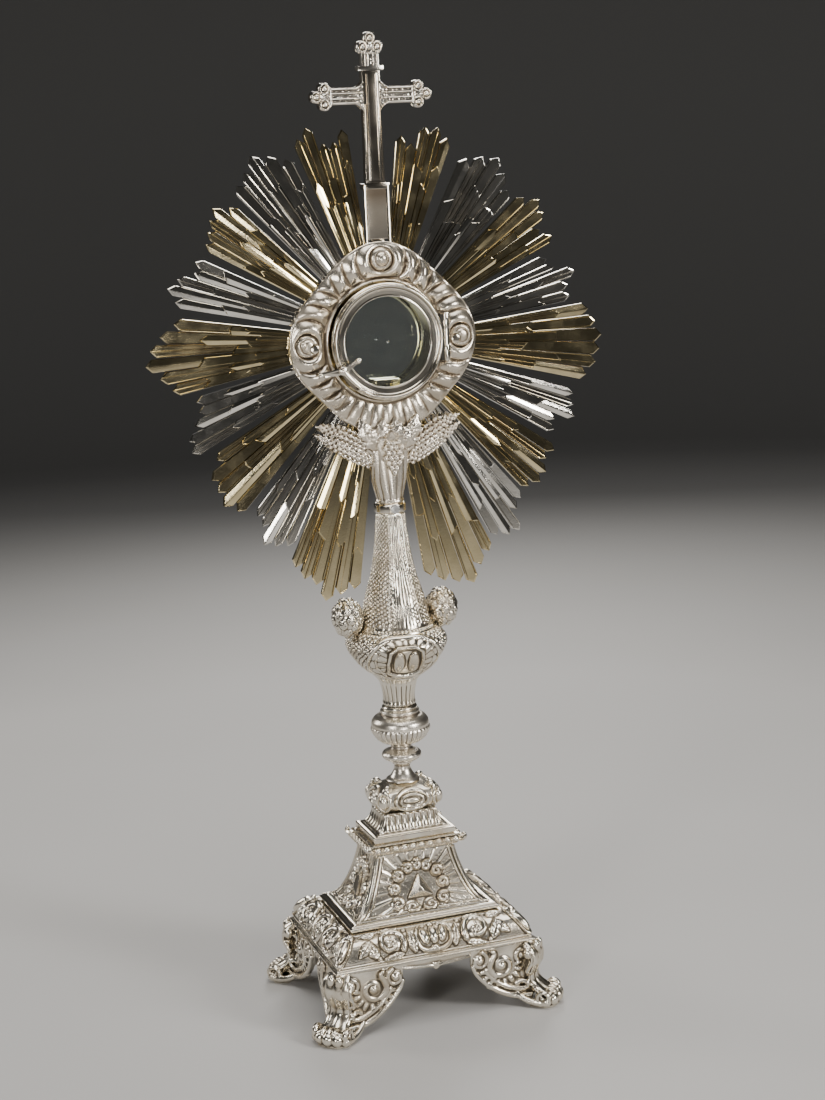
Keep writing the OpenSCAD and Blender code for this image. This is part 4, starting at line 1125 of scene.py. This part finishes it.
def make_globes():
    n = 34
    i = np.arange(n)
    seed_z = 1 - 2 * (i + 0.5) / n
    seed_a = i * 2.39996
    ring = np.sqrt(1 - seed_z**2)
    seeds = np.stack([ring * np.cos(seed_a), ring * np.sin(seed_a), seed_z], 1)
    radius = 12.5

    def rosettes(unit):
        """Five-petalled flowers with a bead, round the nearest of the seeds."""
        near = unit @ seeds.T
        gap = np.arccos(np.clip(near.max(1), -1, 1)) * radius
        seed = seeds[near.argmax(1)]
        ref = np.cross(seed, [0.3, 0.5, 0.8])
        ref /= np.linalg.norm(ref, axis=1, keepdims=True)
        other = np.cross(seed, ref)
        turn = np.arctan2((unit * other).sum(1), (unit * ref).sum(1))
        petal = 0.75 + 0.25 * np.cos(5 * turn)
        h = 1.1 * np.clip(1 - (gap / 3.6)**2, 0, 1) ** 0.4 * petal
        h = np.maximum(h, 1.35 * bulge(gap / 1.1))
        return unit * (1 + (h[:, None] - 0.8) / radius)

    for name, s in (("globe_left", -1), ("globe_right", 1)):
        low, high = box_mm(name)
        half_x, half_y = (high[0] - low[0]) / 2, (high[1] - low[1]) / 2
        centre = np.array([(low[0] + high[0]) / 2, 0, high[2] - half_y])
        globe = blob(centre, (half_x, half_y, half_y), rings=90, sides=150, carve=rosettes)
        stalk = [(s * 31.5, 0, low[2] + 6), (s * 32.4, 0, centre[2] - 13), (s * 35, 0, centre[2] - 9)]
        leaf = taper(stalk, 12, 4.2, 3.0, 16, 1.0, (0, 1, 0))
        peg = tube([(s * 31.5, 0, low[2]), (s * 31.5, 0, low[2] + 9)], 2.2, 12, 1.0, (0, 1, 0))
        piece(name + "_rosettes", [globe, leaf, peg], CHASED, [name], sharp=70)


def bark(x, y, angle):
    """Broken upright lines on the sleeve's front and rear, pebbles at its sides and seams between."""
    up = y - SLEEVE_Z
    near = (angle + math.pi / 2) % math.pi - math.pi / 2
    centre = np.clip(1 - (np.abs(near) / (0.42 + 0.002 * up))**4, 0, 1)
    wander = 0.9 * value_noise(angle * 3, up / 14, 4)
    strokes = np.abs(np.sin(angle * 25 + 1.4 * wander)) ** 0.8
    broken = 0.5 + 0.5 * value_noise(angle * 22, up / 6, 6)
    lines = 0.45 * strokes * broken * centre
    ground = 0.8 * pebbles(angle * 8, up / 2.6) * (1 - centre)
    seam = 0.7 * bell(np.abs(near), 0.5, 0.04)
    return (lines + np.maximum(ground, seam)) * smoothstep(up, 3, 6) * smoothstep(COLLAR_Z - y, 0, 2)


def make_sleeve():
    profile = based(SLEEVE_Z, [(28.2, 0), (27.8, 1.0), (26.8, 2.6), (25.4, 5), (24.2, 8.5), (23.2, 13),
                               (21.8, 20), (19.6, 28), (17, 36), (15, 44), (13.4, 53), (11.9, 63),
                               (10.8, 74)], (9.9, COLLAR_Z))
    solids = [lathe(profile, bark, columns=480, step=0.42, passes=2)]
    beads, bead_ring = 60, 27.6
    for i in range(beads):
        a = 2 * math.pi * (i + 0.5) / beads
        if abs(math.cos(a)) > 0.62:
            solids.append(ball((bead_ring * math.sin(a), -bead_ring * math.cos(a), SLEEVE_Z + 2.0), 1.25))
    piece("sleeve_bark", solids, CHASED, ["cone_sleeve"])


def make_collar():
    piece("collar_ring", [softened("upper_collar", 0.5)], POLISHED, ["upper_collar"])
    piece("collar_screw_head", [softened("collar_screw", 0.35)], STEEL, ["collar_screw"])


make_spool()
make_knop()
make_neck()
make_vase()
make_globes()
make_sleeve()
make_collar()

# ---------- rays ----------

ROOT_R = 54.0
# First and last angle in degrees from +X, then how far each ray reaches from the chamber's centre
FANS = {
    "fan_right_1": (66.5, 83, (148, 153, 151, 138, 142)),
    "fan_right_2": (42.5, 62.5, (141, 148, 154, 148, 141)),
    "fan_right_3": (24.5, 41.5, (148, 142, 151, 154, 146)),
    "fan_right_4": (7, 22.5, (147, 147, 155, 140, 137)),
    "fan_right_5": (-14.8, 5.8, (161, 167, 169, 170, 165, 160)),
    "fan_right_6": (-31.5, -17.5, (150, 147, 161, 157, 154)),
    "fan_right_7": (-48.3, -33.5, (158, 163, 162, 156, 158)),
    "fan_right_8": (-62.5, -49.2, (170, 176, 178, 164, 160)),
    "fan_right_9": (-82, -63.3, (176, 183, 188, 193, 183, 177)),
    "fan_left_9": (-116.5, -98, (172, 178, 180, 190, 184, 179)),
    "fan_left_8": (-131.5, -117.5, (152, 156, 167, 164, 160)),
    "fan_left_7": (-151, -133.5, (145, 156, 158, 162, 158)),
    "fan_left_6": (-168, -153, (140, 141, 147, 155, 157)),
    "fan_left_5": (170, 190.5, (150, 159, 166, 170, 161, 154)),
    "fan_left_4": (153, 167.5, (145, 143, 153, 158, 151)),
    "fan_left_3": (135.5, 150.5, (143, 152, 149, 146, 143)),
    "fan_left_2": (114.5, 133.3, (143, 151, 158, 152, 149)),
    "fan_left_1": (97, 112.5, (148, 141, 142, 156, 151)),
}
FRONT_STEPS = (0.74, 0.83, 0.66, 0.79, 0.70, 0.86)
# Heights across a ray, as (place from -1 to 1, height from 0 to 1)
SECTIONS = (
    ((-1, 0), (-0.9, 0.85), (0.9, 0.85), (1, 0)),
    ((-1, 0), (-0.94, 1), (-0.8, 1), (-0.7, 0.2), (0.7, 0.2), (0.8, 1), (0.94, 1), (1, 0)),
    ((-1, 0), (-0.92, 0.9), (-0.8, 0.9), (-0.72, 0.2), (-0.12, 0.2), (-0.04, 0.9), (0.06, 0.9), (0.14, 0.2),
     (0.74, 0.2), (0.82, 0.9), (0.94, 0.9), (1, 0)),
    ((-1, 0), (-0.94, 0.6), (-0.05, 1), (0.05, 1), (0.94, 0.6), (1, 0)),
    ((-1, 0), (-0.93, 0.95), (-0.25, 0.95), (-0.14, 0.35), (0.84, 0.35), (0.9, 0.9), (0.96, 0.9), (1, 0)),
)
# For the three layers of rays: back, face and rise along Y, and the gap beside a ray in degrees
LAYERS = ((2.2, 0.35, 1.0, 0.12), (0.5, -1.0, 1.1, 0.1), (-0.8, -1.9, 0.9, 0.15))
ENDS = ("point", "notch", "slant", "back", "point", "blunt")


def ray(a0, a1, reach, layer, rng, end, point):
    """One ray: a bar between two angles with a moulded front, tipped a little, and a cut end."""
    y_back, y_face, rise, gap = LAYERS[layer]
    a0, a1 = a0 + gap, a1 - gap
    u, h = np.array(SECTIONS[int(rng.integers(len(SECTIONS)))]).T
    fine = np.unique(np.r_[u, np.linspace(-1, 1, 9)])
    h = np.interp(fine, u, h) * (1 + rng.uniform(-0.16, 0.16) * fine)
    cut = {"point": np.abs(fine), "notch": 1 - np.abs(fine), "slant": (fine + 1) / 2,
           "back": (1 - fine) / 2, "blunt": 0.2 * np.abs(fine)}[end] * point
    t = np.r_[np.linspace(0, 0.97, 8), 0.99, 1.0][:, None]
    r = ROOT_R + (reach - cut[None] - ROOT_R) * t
    fade = np.clip((1 - t) / 0.01, 0.2, 1)
    a = np.radians((a0 + a1) / 2 + fine[None] * (a1 - a0) / 2 + 0 * t)
    front = on_disc(r, a, y_face - rise * h[None] * fade)
    return loft(np.concatenate([front, on_disc(r, a, y_back)[:, ::-1]], 1), paired=True)


def make_fan(name, first, last, reach, seed):
    """Three layers: even rays at the back, uneven ones before them and short ones in front."""
    rng = np.random.default_rng(seed)

    def uneven(count, margin, least, spread):
        """The edges of count rays of uneven widths, a margin in from the sides of the fan."""
        shares = np.cumsum(np.r_[0, least + spread * rng.random(count)])
        return first + margin + (last - first - 2 * margin) * shares / shares[-1]

    n = len(reach)
    edges = np.linspace(first, last, n + 1)
    solids = [ray(edges[i], edges[i + 1], reach[i], 0, rng, "point", 4.5) for i in range(n)]
    edges = uneven(n, 0.5, 0.8, 0.4)
    for i in range(n):
        end = ENDS[int(rng.integers(6))]
        solids.append(ray(edges[i], edges[i + 1], reach[i] * FRONT_STEPS[(i + n) % 6], 1, rng, end, 5))
    edges = uneven(n + 2, 1.2, 0.5, 1.0)
    for i in range(n + 2):
        if rng.random() > 0.25:
            short = 84 + 20 * rng.random() + 6 * (i % 2)
            end = ENDS[int(rng.integers(6))]
            solids.append(ray(edges[i], edges[i + 1], short, 2, rng, end, 4))
    gilt = int(name[-1]) % 2 == 1
    piece(name + "_rays", solids, GILT if gilt else SILVER_RAY, [name], sharp=8)


for number, (fan, (first, last, reach)) in enumerate(FANS.items()):
    make_fan(fan, first, last, reach, 100 + number)

# ---------- chamber ----------

FRAME_FACE, FRAME_BACK = -4.8, -2.2
# How far the bosses of the frame stand from its centre
BOSS_OUT = 57


def wheel(profile, columns):
    """A closed ring round the chamber's axis from a loop of (radius, y) points."""
    r, y = np.array(profile, float).T
    return ring_solid(on_disc(r[:, None], full_turn(columns), y[:, None]))


def closed_loop(points, step=0.4, passes=2):
    """A closed outline resampled with its corners rounded."""
    p = np.array(points + points[:1], float)
    along = np.r_[0, np.cumsum(np.linalg.norm(np.diff(p, axis=0), axis=1))]
    at = np.arange(0, along[-1], step)
    q = np.stack([np.interp(at, along, p[:, i]) for i in range(2)], 1)
    for _ in range(passes):
        q = (np.roll(q, 1, 0) + 2 * q + np.roll(q, -1, 0)) / 4
    return q


def cloud_relief(x, z, edge_in, edge_out):
    """Puffs of cloud: rolls spreading from three bosses, and flutes along the bottom."""
    a = np.degrees(np.arctan2(z, x)) % 360
    gap = np.min([np.hypot(x - BOSS_OUT * math.cos(math.radians(b)), z - BOSS_OUT * math.sin(math.radians(b)))
                  for b in (0, 90, 180)], axis=0)
    place = np.clip(edge_in / (edge_in + edge_out), 0, 1)
    plump = np.sin(math.pi * place) ** 0.6
    roll = (gap - 8.4) / 10.4
    part = roll - np.floor(roll)
    puff = 3.8 * np.sin(math.pi * part ** 0.7) * plump * (roll > 0)
    boss = 4.4 * bulge(gap / 8.2)
    rim = 1.0 * bell(gap, 5.0, 0.8)
    bottom = smoothstep(a, 226, 240) * smoothstep(314 - a, 0, 14)
    flutes = 1.2 * np.abs(np.cos(np.radians(a - 270) * 21)) ** 0.8 * plump
    return (np.maximum(puff, boss) - rim) * (1 - bottom) + flutes * bottom + 0.9 * plump


def make_cloud_frame():
    columns, rows = 560, 46
    a = full_turn(columns)
    degrees = np.degrees(a)
    dip = np.where((degrees > 240) & (degrees < 300), 3 * np.sin(np.radians(3 * (degrees - 240))), 0)
    outline = 65.4 + 3.8 * np.cos(4 * a) - dip
    hole = 41.7
    r = hole + (outline - hole) * np.linspace(0, 1, rows)[:, None]
    x, z = r * np.cos(a), r * np.sin(a)
    edge_in, edge_out = r - hole, outline - r
    h = cloud_relief(x, z, np.maximum(edge_in - 2.6, 0), np.maximum(edge_out - 1.2, 0))
    h += 2.4 * bell(edge_in, 0.6, 1.5) + 0.6 * bell(edge_out, 0.9, 0.7)
    # Lower round the two screws and under the hinge leaf
    screw_x, screw_z = 52.3, -2
    seats = np.minimum(np.hypot(x - screw_x, z - screw_z), np.hypot(x + screw_x, z - screw_z))
    hinge = (x > 40.5) & (x < 47.5) & (np.abs(z) < 18)
    h = np.where(seats < 3.4, np.minimum(h, 2.2), h)
    h = np.where(hinge, np.minimum(h, 0.2), h)
    h += 0.12 * value_noise(x / 1.6, z / 1.6, 12)
    back = [on_disc(edge, a, FRAME_BACK) for edge in (outline, hole)]
    solids = [ring_solid(np.concatenate([on_disc(r, a, FRAME_FACE - h)] + back)),
              blob((-60.5, FRAME_FACE - 4.4, EYE_Z + 1.0), (2.6, 1.7, 2.6), rings=10, sides=16),
              blob((0, FRAME_FACE - 4.6, EYE_Z + BOSS_OUT), (3.4, 1.5, 3.4), rings=10, sides=16)]
    piece("cloud_frame_puffs", solids, MATT, ["cloud_frame"], sharp=60)


def make_pane(node, r, y0, y1, body):
    """A round glass between two depths: a ring of faces with a pinhole 0.8 mm wide at its centre."""
    section = closed_loop([(r, y0), (0.4, y0), (0.4, y1), (r, y1)], 0.6, 1)
    piece(node + "_pane", [wheel(section, 160)], GLASS, [node], body)


def make_door():
    profile = closed_loop([(40, -8), (40, -11.4), (40.9, -12.0), (41.2, -13.0), (40.9, -14.0), (40, -14.6),
                           (40, -16.2), (39.5, -17.3), (38.8, -17.5), (38.2, -17.0), (37.9, -16.0),
                           (37.2, -16.2), (36.5, -15.9), (36.2, -15.3), (32.6, -14.9), (32.0, -15.3),
                           (31.5, -14.9), (31.5, -13.7), (36.7, -13.6), (36.7, -8)], 0.3, 1)
    # Half the height of the knuckle and of the arm that joins it to the rim
    half = 16.3
    arm = [[(x, y, EYE_Z + z) for x, y in ((39.2, -13.2), (44, -13.2), (44, -10.8), (39.2, -10.8))]
           for z in np.linspace(-half, half, 5)]
    knuckle = [(44, -12, EYE_Z + z) for z in (-half, -half + 0.5, 0, half - 0.5, half)]
    solids = [wheel(profile, 256), loft(np.array(arm)),
              tube(knuckle, (2.0, 2.4, 2.4, 2.4, 2.0), 20, 1.0, (0, 1, 0))]
    piece("door_bezel_rim", solids, POLISHED, ["door_bezel"], "door", sharp=30)
    # The lug under the lever is painted dark for the shade that falls there.
    lug = []
    for i, a in enumerate(np.radians(np.linspace(201, 231, 14))):
        swell = 0.5 * math.sin(math.pi * i / 13)
        r = np.array([36.9 - swell, 36.9 - swell, 37.5, 40.6, 41.2 + swell, 41.2 + swell])
        lug.append(on_disc(r, a, (-15.5, -18.8, -19.3, -19.3, -18.8, -15.5)))
    piece("door_latch_lug", [loft(np.array(lug))], PAINTED_SHADE_SILVER, [], "door", sharp=30)
    make_pane("door_glass", 36.5, -13.55, -12.1, "door")


def make_latch():
    low, high = box_mm("latch_lever")
    face = low[1] + 0.1
    rivet = np.array([-37, face + 0.5, EYE_Z - 17])
    thumb = curve([rivet, rivet + [6.6, 0, -7.6], rivet + [13, 0, -13.4]], 12)
    blade = [softened("latch_lever", 0.3), tube(thumb, np.linspace(1.7, 1.1, 12), 12, 0.6)]
    beads = [blob((x, face + 0.9, z), (r, 0.9, r), rings=10, sides=14)
             for x, z, r in ((low[0] + 1.5, low[2] + 2.0, 1.7), (high[0] - 1.4, high[2] - 1.6, 1.6))]
    beads.append(blob(rivet, (3.0, 0.8, 3.0), rings=10, sides=20))
    beads += [blob(thumb[-1] + offset, (1.7, 1.1, 1.7), rings=10, sides=14)
              for offset in ([-1.1, 0, 0.2], [1.3, 0, -0.5])]
    piece("latch_lever_blade", blade + beads, POLISHED, ["latch_lever"], "latch")
    pin = [softened("latch_rivet", 0.25), blob(rivet - [0, 1.4, 0], (1.7, 0.7, 1.7), rings=10, sides=16)]
    piece("latch_rivet_head", pin, POLISHED, ["latch_rivet"], "door")


def make_fittings():
    # The cross post's darker silver is a painted dark reflection.
    for node, width, finish in (("hinge_leaf", 0.3, POLISHED), ("hinge_pin", 0.2, POLISHED),
                                ("frame_screws", 0.5, POLISHED), ("latch_stud", 0.3, POLISHED),
                                ("lunette_rail", 0.3, GILT), ("rear_bezel", 0.4, GILT),
                                ("chamber_drum", 0.3, GILT), ("cross_post", 0.5, DARK_REFLECTION_SILVER),
                                ("cross_finial", 0.4, CROSS_WORN), ("tie_rod", 0.3, STEEL),
                                ("rod_nut", 0.4, STEEL)):
        piece(node + "_body", [softened(node, width)], finish, [node])
    low, high = box_mm("rear_glass")
    make_pane("rear_glass", 32.9, low[1] + 0.05, high[1], "stand")


make_cloud_frame()
make_door()
make_latch()
make_fittings()

# ---------- wheat, vine and grapes over the socket ----------


def grain(centre, length, width, angle, lift):
    """One grain of wheat: a pointed bead."""

    def pointed(unit):
        taper = 1 - 0.35 * np.clip(unit[:, :1], 0, 1)
        return unit * np.concatenate([np.ones_like(taper), taper, taper], 1)

    return blob(centre, (length, width * 0.9, width), lean(angle, lift), 8, 10, carve=pointed)


def wheat_ear(root, angle, length, half, s, bend, y0):
    """An ear of four rows of bead-like grains round a curved core, with short awns at its tip."""
    t = np.linspace(0, 1, 24)
    a = np.radians(angle + bend * (t - 0.5))
    step = length / 23
    x = root[0] + np.r_[0, np.cumsum(np.cos(a[:-1]) * step)]
    z = root[1] + np.r_[0, np.cumsum(np.sin(a[:-1]) * step)]
    y = y0 - 1.5 * np.sin(math.pi * t)
    path = np.stack([s * x, y + 1.4, z], 1)
    wide = half * np.minimum(np.minimum(1, 0.45 + 1.7 * t), 2.2 * (1.1 - t))
    solids = [tube(path, 0.6 * wide, 14, 0.6)]
    count = int(0.86 * length / 3.7)
    for k, row in enumerate((-0.9, -0.31, 0.31, 0.9)):
        for i in range(count):
            f = 0.13 + 0.87 * (i + 0.5 * (k % 2) + 0.2) / count
            cx, cy, cz = (np.interp(f, t, path[:, n]) for n in range(3))
            heading = math.degrees(np.interp(f, t, a))
            reach = np.interp(f, t, wide)
            off = math.radians(heading + 90)
            place = (cx + s * row * reach * math.cos(off), cy - 2.6 * math.sqrt(1 - row**2) * reach / half,
                     cz + row * reach * math.sin(off))
            turn = heading + 22 * row
            size = 0.5 + 0.5 * reach / half
            solids.append(grain(place, 2.05 * size, 1.6 * size, turn if s > 0 else 180 - turn, 14))
    for k, spread in enumerate((-16, -6, 6, 16)):
        b = math.radians(math.degrees(a[-1]) + spread)
        tip = path[-1] + np.array([s * math.cos(b), 0.1, math.sin(b)]) * (2.4 + 0.8 * (k % 2))
        solids.append(tube([path[-1], (path[-1] + tip) / 2, tip], (0.6, 0.45, 0.2), 6))
    return solids


def leaf_blade(root, angle, length, half, s, lift):
    """A lobed leaf with a creased middle and rolled edges; s is -1 on the left and 1 on the right."""
    t = np.linspace(0, 1, 40)[:, None]
    u = np.linspace(-1, 1, 23)[None]
    outline = np.sin(math.pi * t**0.7) ** 0.75 * (1 - 0.22 * np.abs(np.sin(math.pi * 3 * t)))
    w = half * outline * u
    along = length * t + 0.22 * np.abs(w) * (1 - t)
    h = lift * np.sin(math.pi * np.clip(t * 0.9 + 0.08, 0, 1)) + 1.5 * (0.5 - u**2) * outline
    h = h - 0.55 * np.exp(-(u / 0.12)**2) * outline + 0.9 * value_noise(along / 1.8, w / 1.8, 9) * outline
    b = math.radians(angle)
    x = root[0] + along * math.cos(b) - w * math.sin(b)
    z = root[2] + along * math.sin(b) + w * math.cos(b)
    return slab(s * x, z, root[1] - h, root[1] - h + 1.1)


def make_wheat():
    ears = (((9.5, 399.5), 31, 50, 4.7, -5, -6.6), ((13, 410), 29, 45, 5.4, -26, -7.4),
            ((10, 411), 62, 27, 3.6, -20, -6.8))
    blades = (((9, -7.4, 412), 62, 21, 7.5, 2.2), ((6, -7.6, 420), 98, 15, 6.4, 1.8),
              ((16, -7.2, 417), 74, 20, 6.2, 1.8))
    stem = np.array([(8.5, -5.2, 394), (12, -6.2, 402), (17, -6.4, 410), (21, -6, 419)])
    for s, name in ((-1, "wheat_left"), (1, "wheat_right")):
        solids = []
        for root, angle, length, half, bend, y0 in ears:
            solids += wheat_ear(root, angle, length, half, s, bend, y0)
        for root, angle, length, half, lift in blades:
            solids.append(leaf_blade(root, angle, length, half, s, lift))
        solids.append(taper(stem * [s, 1, 1], 20, 1.6, 1.0, 8))
        # Melted into one skin, so that the gaps between the grains count as hollows and take the painted
        # shade.
        piece(name + "_ears", [casting(name + "_casting", solids, 0.42)], SATIN, [name], sharp=80)


def make_grapes():
    solids = []
    rng = np.random.default_rng(21)
    grape, spacing = 2.1, 4.1
    for count, z in ((3, 417.4), (4, 413.8), (3, 410.2), (4, 406.6), (3, 403.0), (2, 399.4), (1, 396.0)):
        for i in range(count):
            x = (i - (count - 1) / 2) * spacing + 0.4 * (rng.random() - 0.5)
            depth = -12.4 - 2.0 * math.sqrt(max(0, 1 - (x / 9)**2))
            solids.append(ball((x, depth, z + 0.5 * (rng.random() - 0.5)), grape, 10, 14))
    half = curve([(0, 397), (5.5, 402), (9, 408), (11, 414), (12.5, 421), (9.5, 427), (4.5, 430),
                  (0, 428)], 30)
    ring = np.vstack([half, half[-2:0:-1] * [-1, 1]])
    mid = np.array([0, 413.5])
    loops = []
    for y, grow in ((-8.2, 1.0), (-9.6, 0.98), (-10.6, 0.86), (-11.0, 0.5)):
        x, z = (mid + (ring - mid) * grow).T
        loops.append(np.stack([x, np.full(len(x), y), z], 1))
    solids.append(loft(np.array(loops)))
    for s in (-1, 1):
        solids.append(leaf_blade((2.5, -9.4, 420), 62, 13, 5.4, s, 2.0))
        solids.append(leaf_blade((7, -8.8, 418), 24, 12, 4.4, s, 1.6))
    piece("grape_bunch", [casting("grape_casting", solids, 0.42)], SATIN, ["grape_cluster"], sharp=80)


def make_socket():
    """A calyx that is folded round its outside and leans forward as it rises."""
    a = full_turn(120)[0]
    loops = []
    # How far up, half the width, half the depth and how far forward
    for up, half_x, half_y, forward in ((0, 9.4, 9.4, 0), (1, 10.2, 10.2, 0), (2.2, 10.0, 10.0, 0),
                                        (3.4, 9.4, 9.4, 0), (7, 10.0, 9.6, 0), (12, 11.2, 9.4, 0.2),
                                        (17, 12.4, 8.6, 1.0), (20, 12.6, 7.4, 2.2), (24, 12.8, 5.8, 3.8),
                                        (30, 13.0, 4.4, 5.2), (38, 13.4, 3.4, 6.2)):
        fold = 1 + 0.07 * np.abs(np.cos(a * 6)) * min(1, up / 5)
        x, y = half_x * np.sin(a) * fold, -half_y * np.cos(a) * fold - forward
        loops.append(np.stack([x, y, np.full(len(a), SOCKET_Z + up)], 1))
    dense = curve(np.array(loops).reshape(len(loops), -1), 60).reshape(60, -1, 3)
    piece("socket_calyx", [loft(dense)], SATIN, ["flared_socket"])


make_wheat()
make_grapes()
make_socket()

# ---------- cross ----------

ARM_Z, ARM_HALF = 657.5, 44.0
BAR_HALF, LOBE_R = 5.6, 4.1


def trefoil_half(u, start, reach, flare):
    """Half the width of an arm of the cross at u along it, between its root and its full length."""
    half = np.where(u < reach - 8, BAR_HALF, 0.3) + flare * np.clip(1 - (u - start) / 6.5, 0, 1) ** 2
    for lobe_u, lobe_w in ((reach - 10, 5.3), (reach - LOBE_R, 0)):
        bow = LOBE_R**2 - (u - lobe_u)**2
        half = np.where(bow > 0, np.maximum(half, lobe_w + np.sqrt(np.maximum(bow, 0))), half)
    return half


def cross_arm(start, reach, seed, flare):
    """The worked face of one arm: u along it, w across it and the heights."""
    along = np.r_[np.linspace(start, reach - 14.4, 44), np.linspace(reach - 14.2, reach, 80)]
    u, v = np.meshgrid(along, np.linspace(-1, 1, 54), indexing="ij")
    half = trefoil_half(u, start, reach, flare)
    w = v * half
    r = Relief(u, w).raised(0.35)
    bar = smoothstep(reach - 14 - u, 0, 0.8)
    r.raised(1.8 * bell(np.abs(w) - (half - 0.9), 0, 0.8) * bar)
    r.raised(1.3 * bell(np.abs(w), 1.8, 0.7) * bar)
    r.raised(1.2 * bell(u, reach - 14.2, 0.8))
    for lobe_u, lobe_w in ((reach - 10, 5.3), (reach - 10, -5.3), (reach - LOBE_R, 0)):
        r.raised(1.8 * bell(np.hypot(u - lobe_u, w - lobe_w), LOBE_R - 0.9, 0.8))
        r.dome(lobe_u, lobe_w, 2.0, 2.0, 2.3)
    r.dome(reach - 9.4, 0, 2.6, 2.6, 2.5)
    return u, w, r.h + 0.25 * (value_noise(u / 0.8, w / 0.8, seed) - 0.5)


def make_cross():
    face = -3.0
    foot = heights("cross_body")[0] + 2
    fillets, post_fillets = [], []
    low, high = box_mm("cross_post")
    for s in (-1, 1):
        fillets.append(tube([(s * 6.2, face, foot), (s * 5.7, face, ARM_Z - 6)], 0.7, 8, 0.8 / 0.7))
        fillets.append(tube([(s * 3.0, face - 1.5, foot), (s * 3.0, face - 1.5, ARM_Z + 14)], 0.55, 8,
                            0.7 / 0.55))
        x, y = s * (high[0] - 1.0), low[1] + 0.2
        post_fillets.append(tube([(x, y, low[2] + 1), (x, y, high[2] - 1)], 0.8, 10))
    # The shaft's darker silver is a painted dark reflection.
    piece("cross_shaft", [softened("cross_body", 0.45)], DARK_REFLECTION_SILVER, ["cross_body"], sharp=25)
    piece("cross_shaft_fillets", fillets, POLISHED, [], sharp=25)
    piece("cross_post_fillets", post_fillets, POLISHED, [], sharp=25)
    arms = []
    finial_z, top = heights("cross_finial")
    for back in (1, -1):
        for s in (-1, 1):
            u, w, h = cross_arm(6.4, ARM_HALF - 0.1, 14, 4.2)
            arms.append(slab(s * u, ARM_Z + w, back * (face - h), back * (face + 1.6)))
        u, w, h = cross_arm(3.4, top - finial_z - 0.1, 15, 0.0)
        arms.append(slab(w, finial_z + u, back * (face - h), back * (face + 1.6)))
    piece("cross_relief", arms, CROSS_WORN, [], sharp=40)


make_cross()

# ---------- camera, light and floor ----------


def make_camera():
    """At the photograph's viewing angle: to the left of the front, a little above the chamber."""
    azimuth, distance, height = math.radians(-18.6), 1.4118, 0.6243
    yaw, pitch, roll = math.radians(-0.6), math.radians(11.5), math.radians(2.6)
    place = Vector((math.sin(azimuth) * distance, -math.cos(azimuth) * distance, height))
    level = Matrix.Rotation(yaw, 3, "Z") @ Vector((-math.sin(azimuth), math.cos(azimuth), 0))
    right = level.cross(Vector((0, 0, 1))).normalized()
    forward = Matrix.Rotation(-pitch, 3, right) @ level
    up = right.cross(forward)
    rolled_right = math.cos(roll) * right - math.sin(roll) * up
    rolled_up = math.sin(roll) * right + math.cos(roll) * up
    data = bpy.data.cameras.new("camera")
    data.sensor_width = 36
    data.lens = 65.45
    camera = bpy.data.objects.new("camera", data)
    camera.matrix_world = Matrix((rolled_right, rolled_up, -forward)).transposed().to_4x4()
    camera.matrix_world.translation = place
    bpy.context.scene.collection.objects.link(camera)
    bpy.context.scene.camera = camera


def softbox(name, place, size, watts):
    """A warm rectangular lamp that points at the middle of the monstrance."""
    data = bpy.data.lights.new(name, "AREA")
    data.shape = "RECTANGLE"
    data.size, data.size_y = size
    data.energy = watts
    data.color = (1, 0.97, 0.93)
    lamp = bpy.data.objects.new(name, data)
    lamp.location = place
    aim = Vector((0, 0, 0.38)) - Vector(place)
    lamp.rotation_euler = aim.to_track_quat("-Z", "Y").to_euler()
    bpy.context.scene.collection.objects.link(lamp)


def make_stage():
    """A round pale floor that curves up into a backdrop on every side, beyond the camera."""
    flat_r, bend_r, wall_top = 2.6, 1, 4.0
    bend = [math.radians(a) for a in range(10, 91, 10)]
    profile = [(0.6, 0.0), (flat_r, 0.0)]
    profile += [(flat_r + bend_r * math.sin(a), bend_r * (1 - math.cos(a))) for a in bend]
    profile.append((flat_r + bend_r, wall_top))
    columns = 96
    r, z = np.array(profile)[:, :, None].transpose(1, 0, 2)
    a = full_turn(columns)
    rings = np.stack([r * np.cos(a), r * np.sin(a), z + 0 * a], -1)
    points = np.vstack([rings.reshape(-1, 3), [[0, 0, 0]]])
    around = np.arange(columns)
    middle = np.stack([np.full(columns, len(points) - 1), around, (around + 1) % columns], 1)
    faces = grid_faces(len(rings), columns, False, True)[:, ::-1].tolist() + middle.tolist()
    mesh = bpy.data.meshes.new("floor")
    mesh.from_pydata(points.tolist(), [], faces)
    mesh.materials.append(floor_paint())
    mesh.shade_smooth()
    floor = bpy.data.objects.new("floor", mesh)
    bpy.context.scene.collection.objects.link(floor)


def make_light():
    softbox("key", (1.15, -1.35, 0.95), (0.4, 0.7), 26)
    softbox("second", (-1.3, -1.1, 0.8), (0.3, 0.7), 10)
    softbox("overhead", (0.1, -0.2, 2.1), (1.7, 1.5), 30)
    softbox("low_front", (-0.15, -1.7, 0.3), (0.4, 0.3), 6)
    softbox("back", (0.6, 1.5, 1.1), (0.5, 0.9), 14)
    softbox("back_left", (-1.2, 1.1, 0.9), (0.4, 0.8), 9)
    world = bpy.data.worlds.new("studio")
    world.use_nodes = True
    world.node_tree.nodes["Background"].inputs["Color"].default_value = (0.13, 0.13, 0.135, 1)
    bpy.context.scene.world = world


make_camera()
make_stage()
make_light()
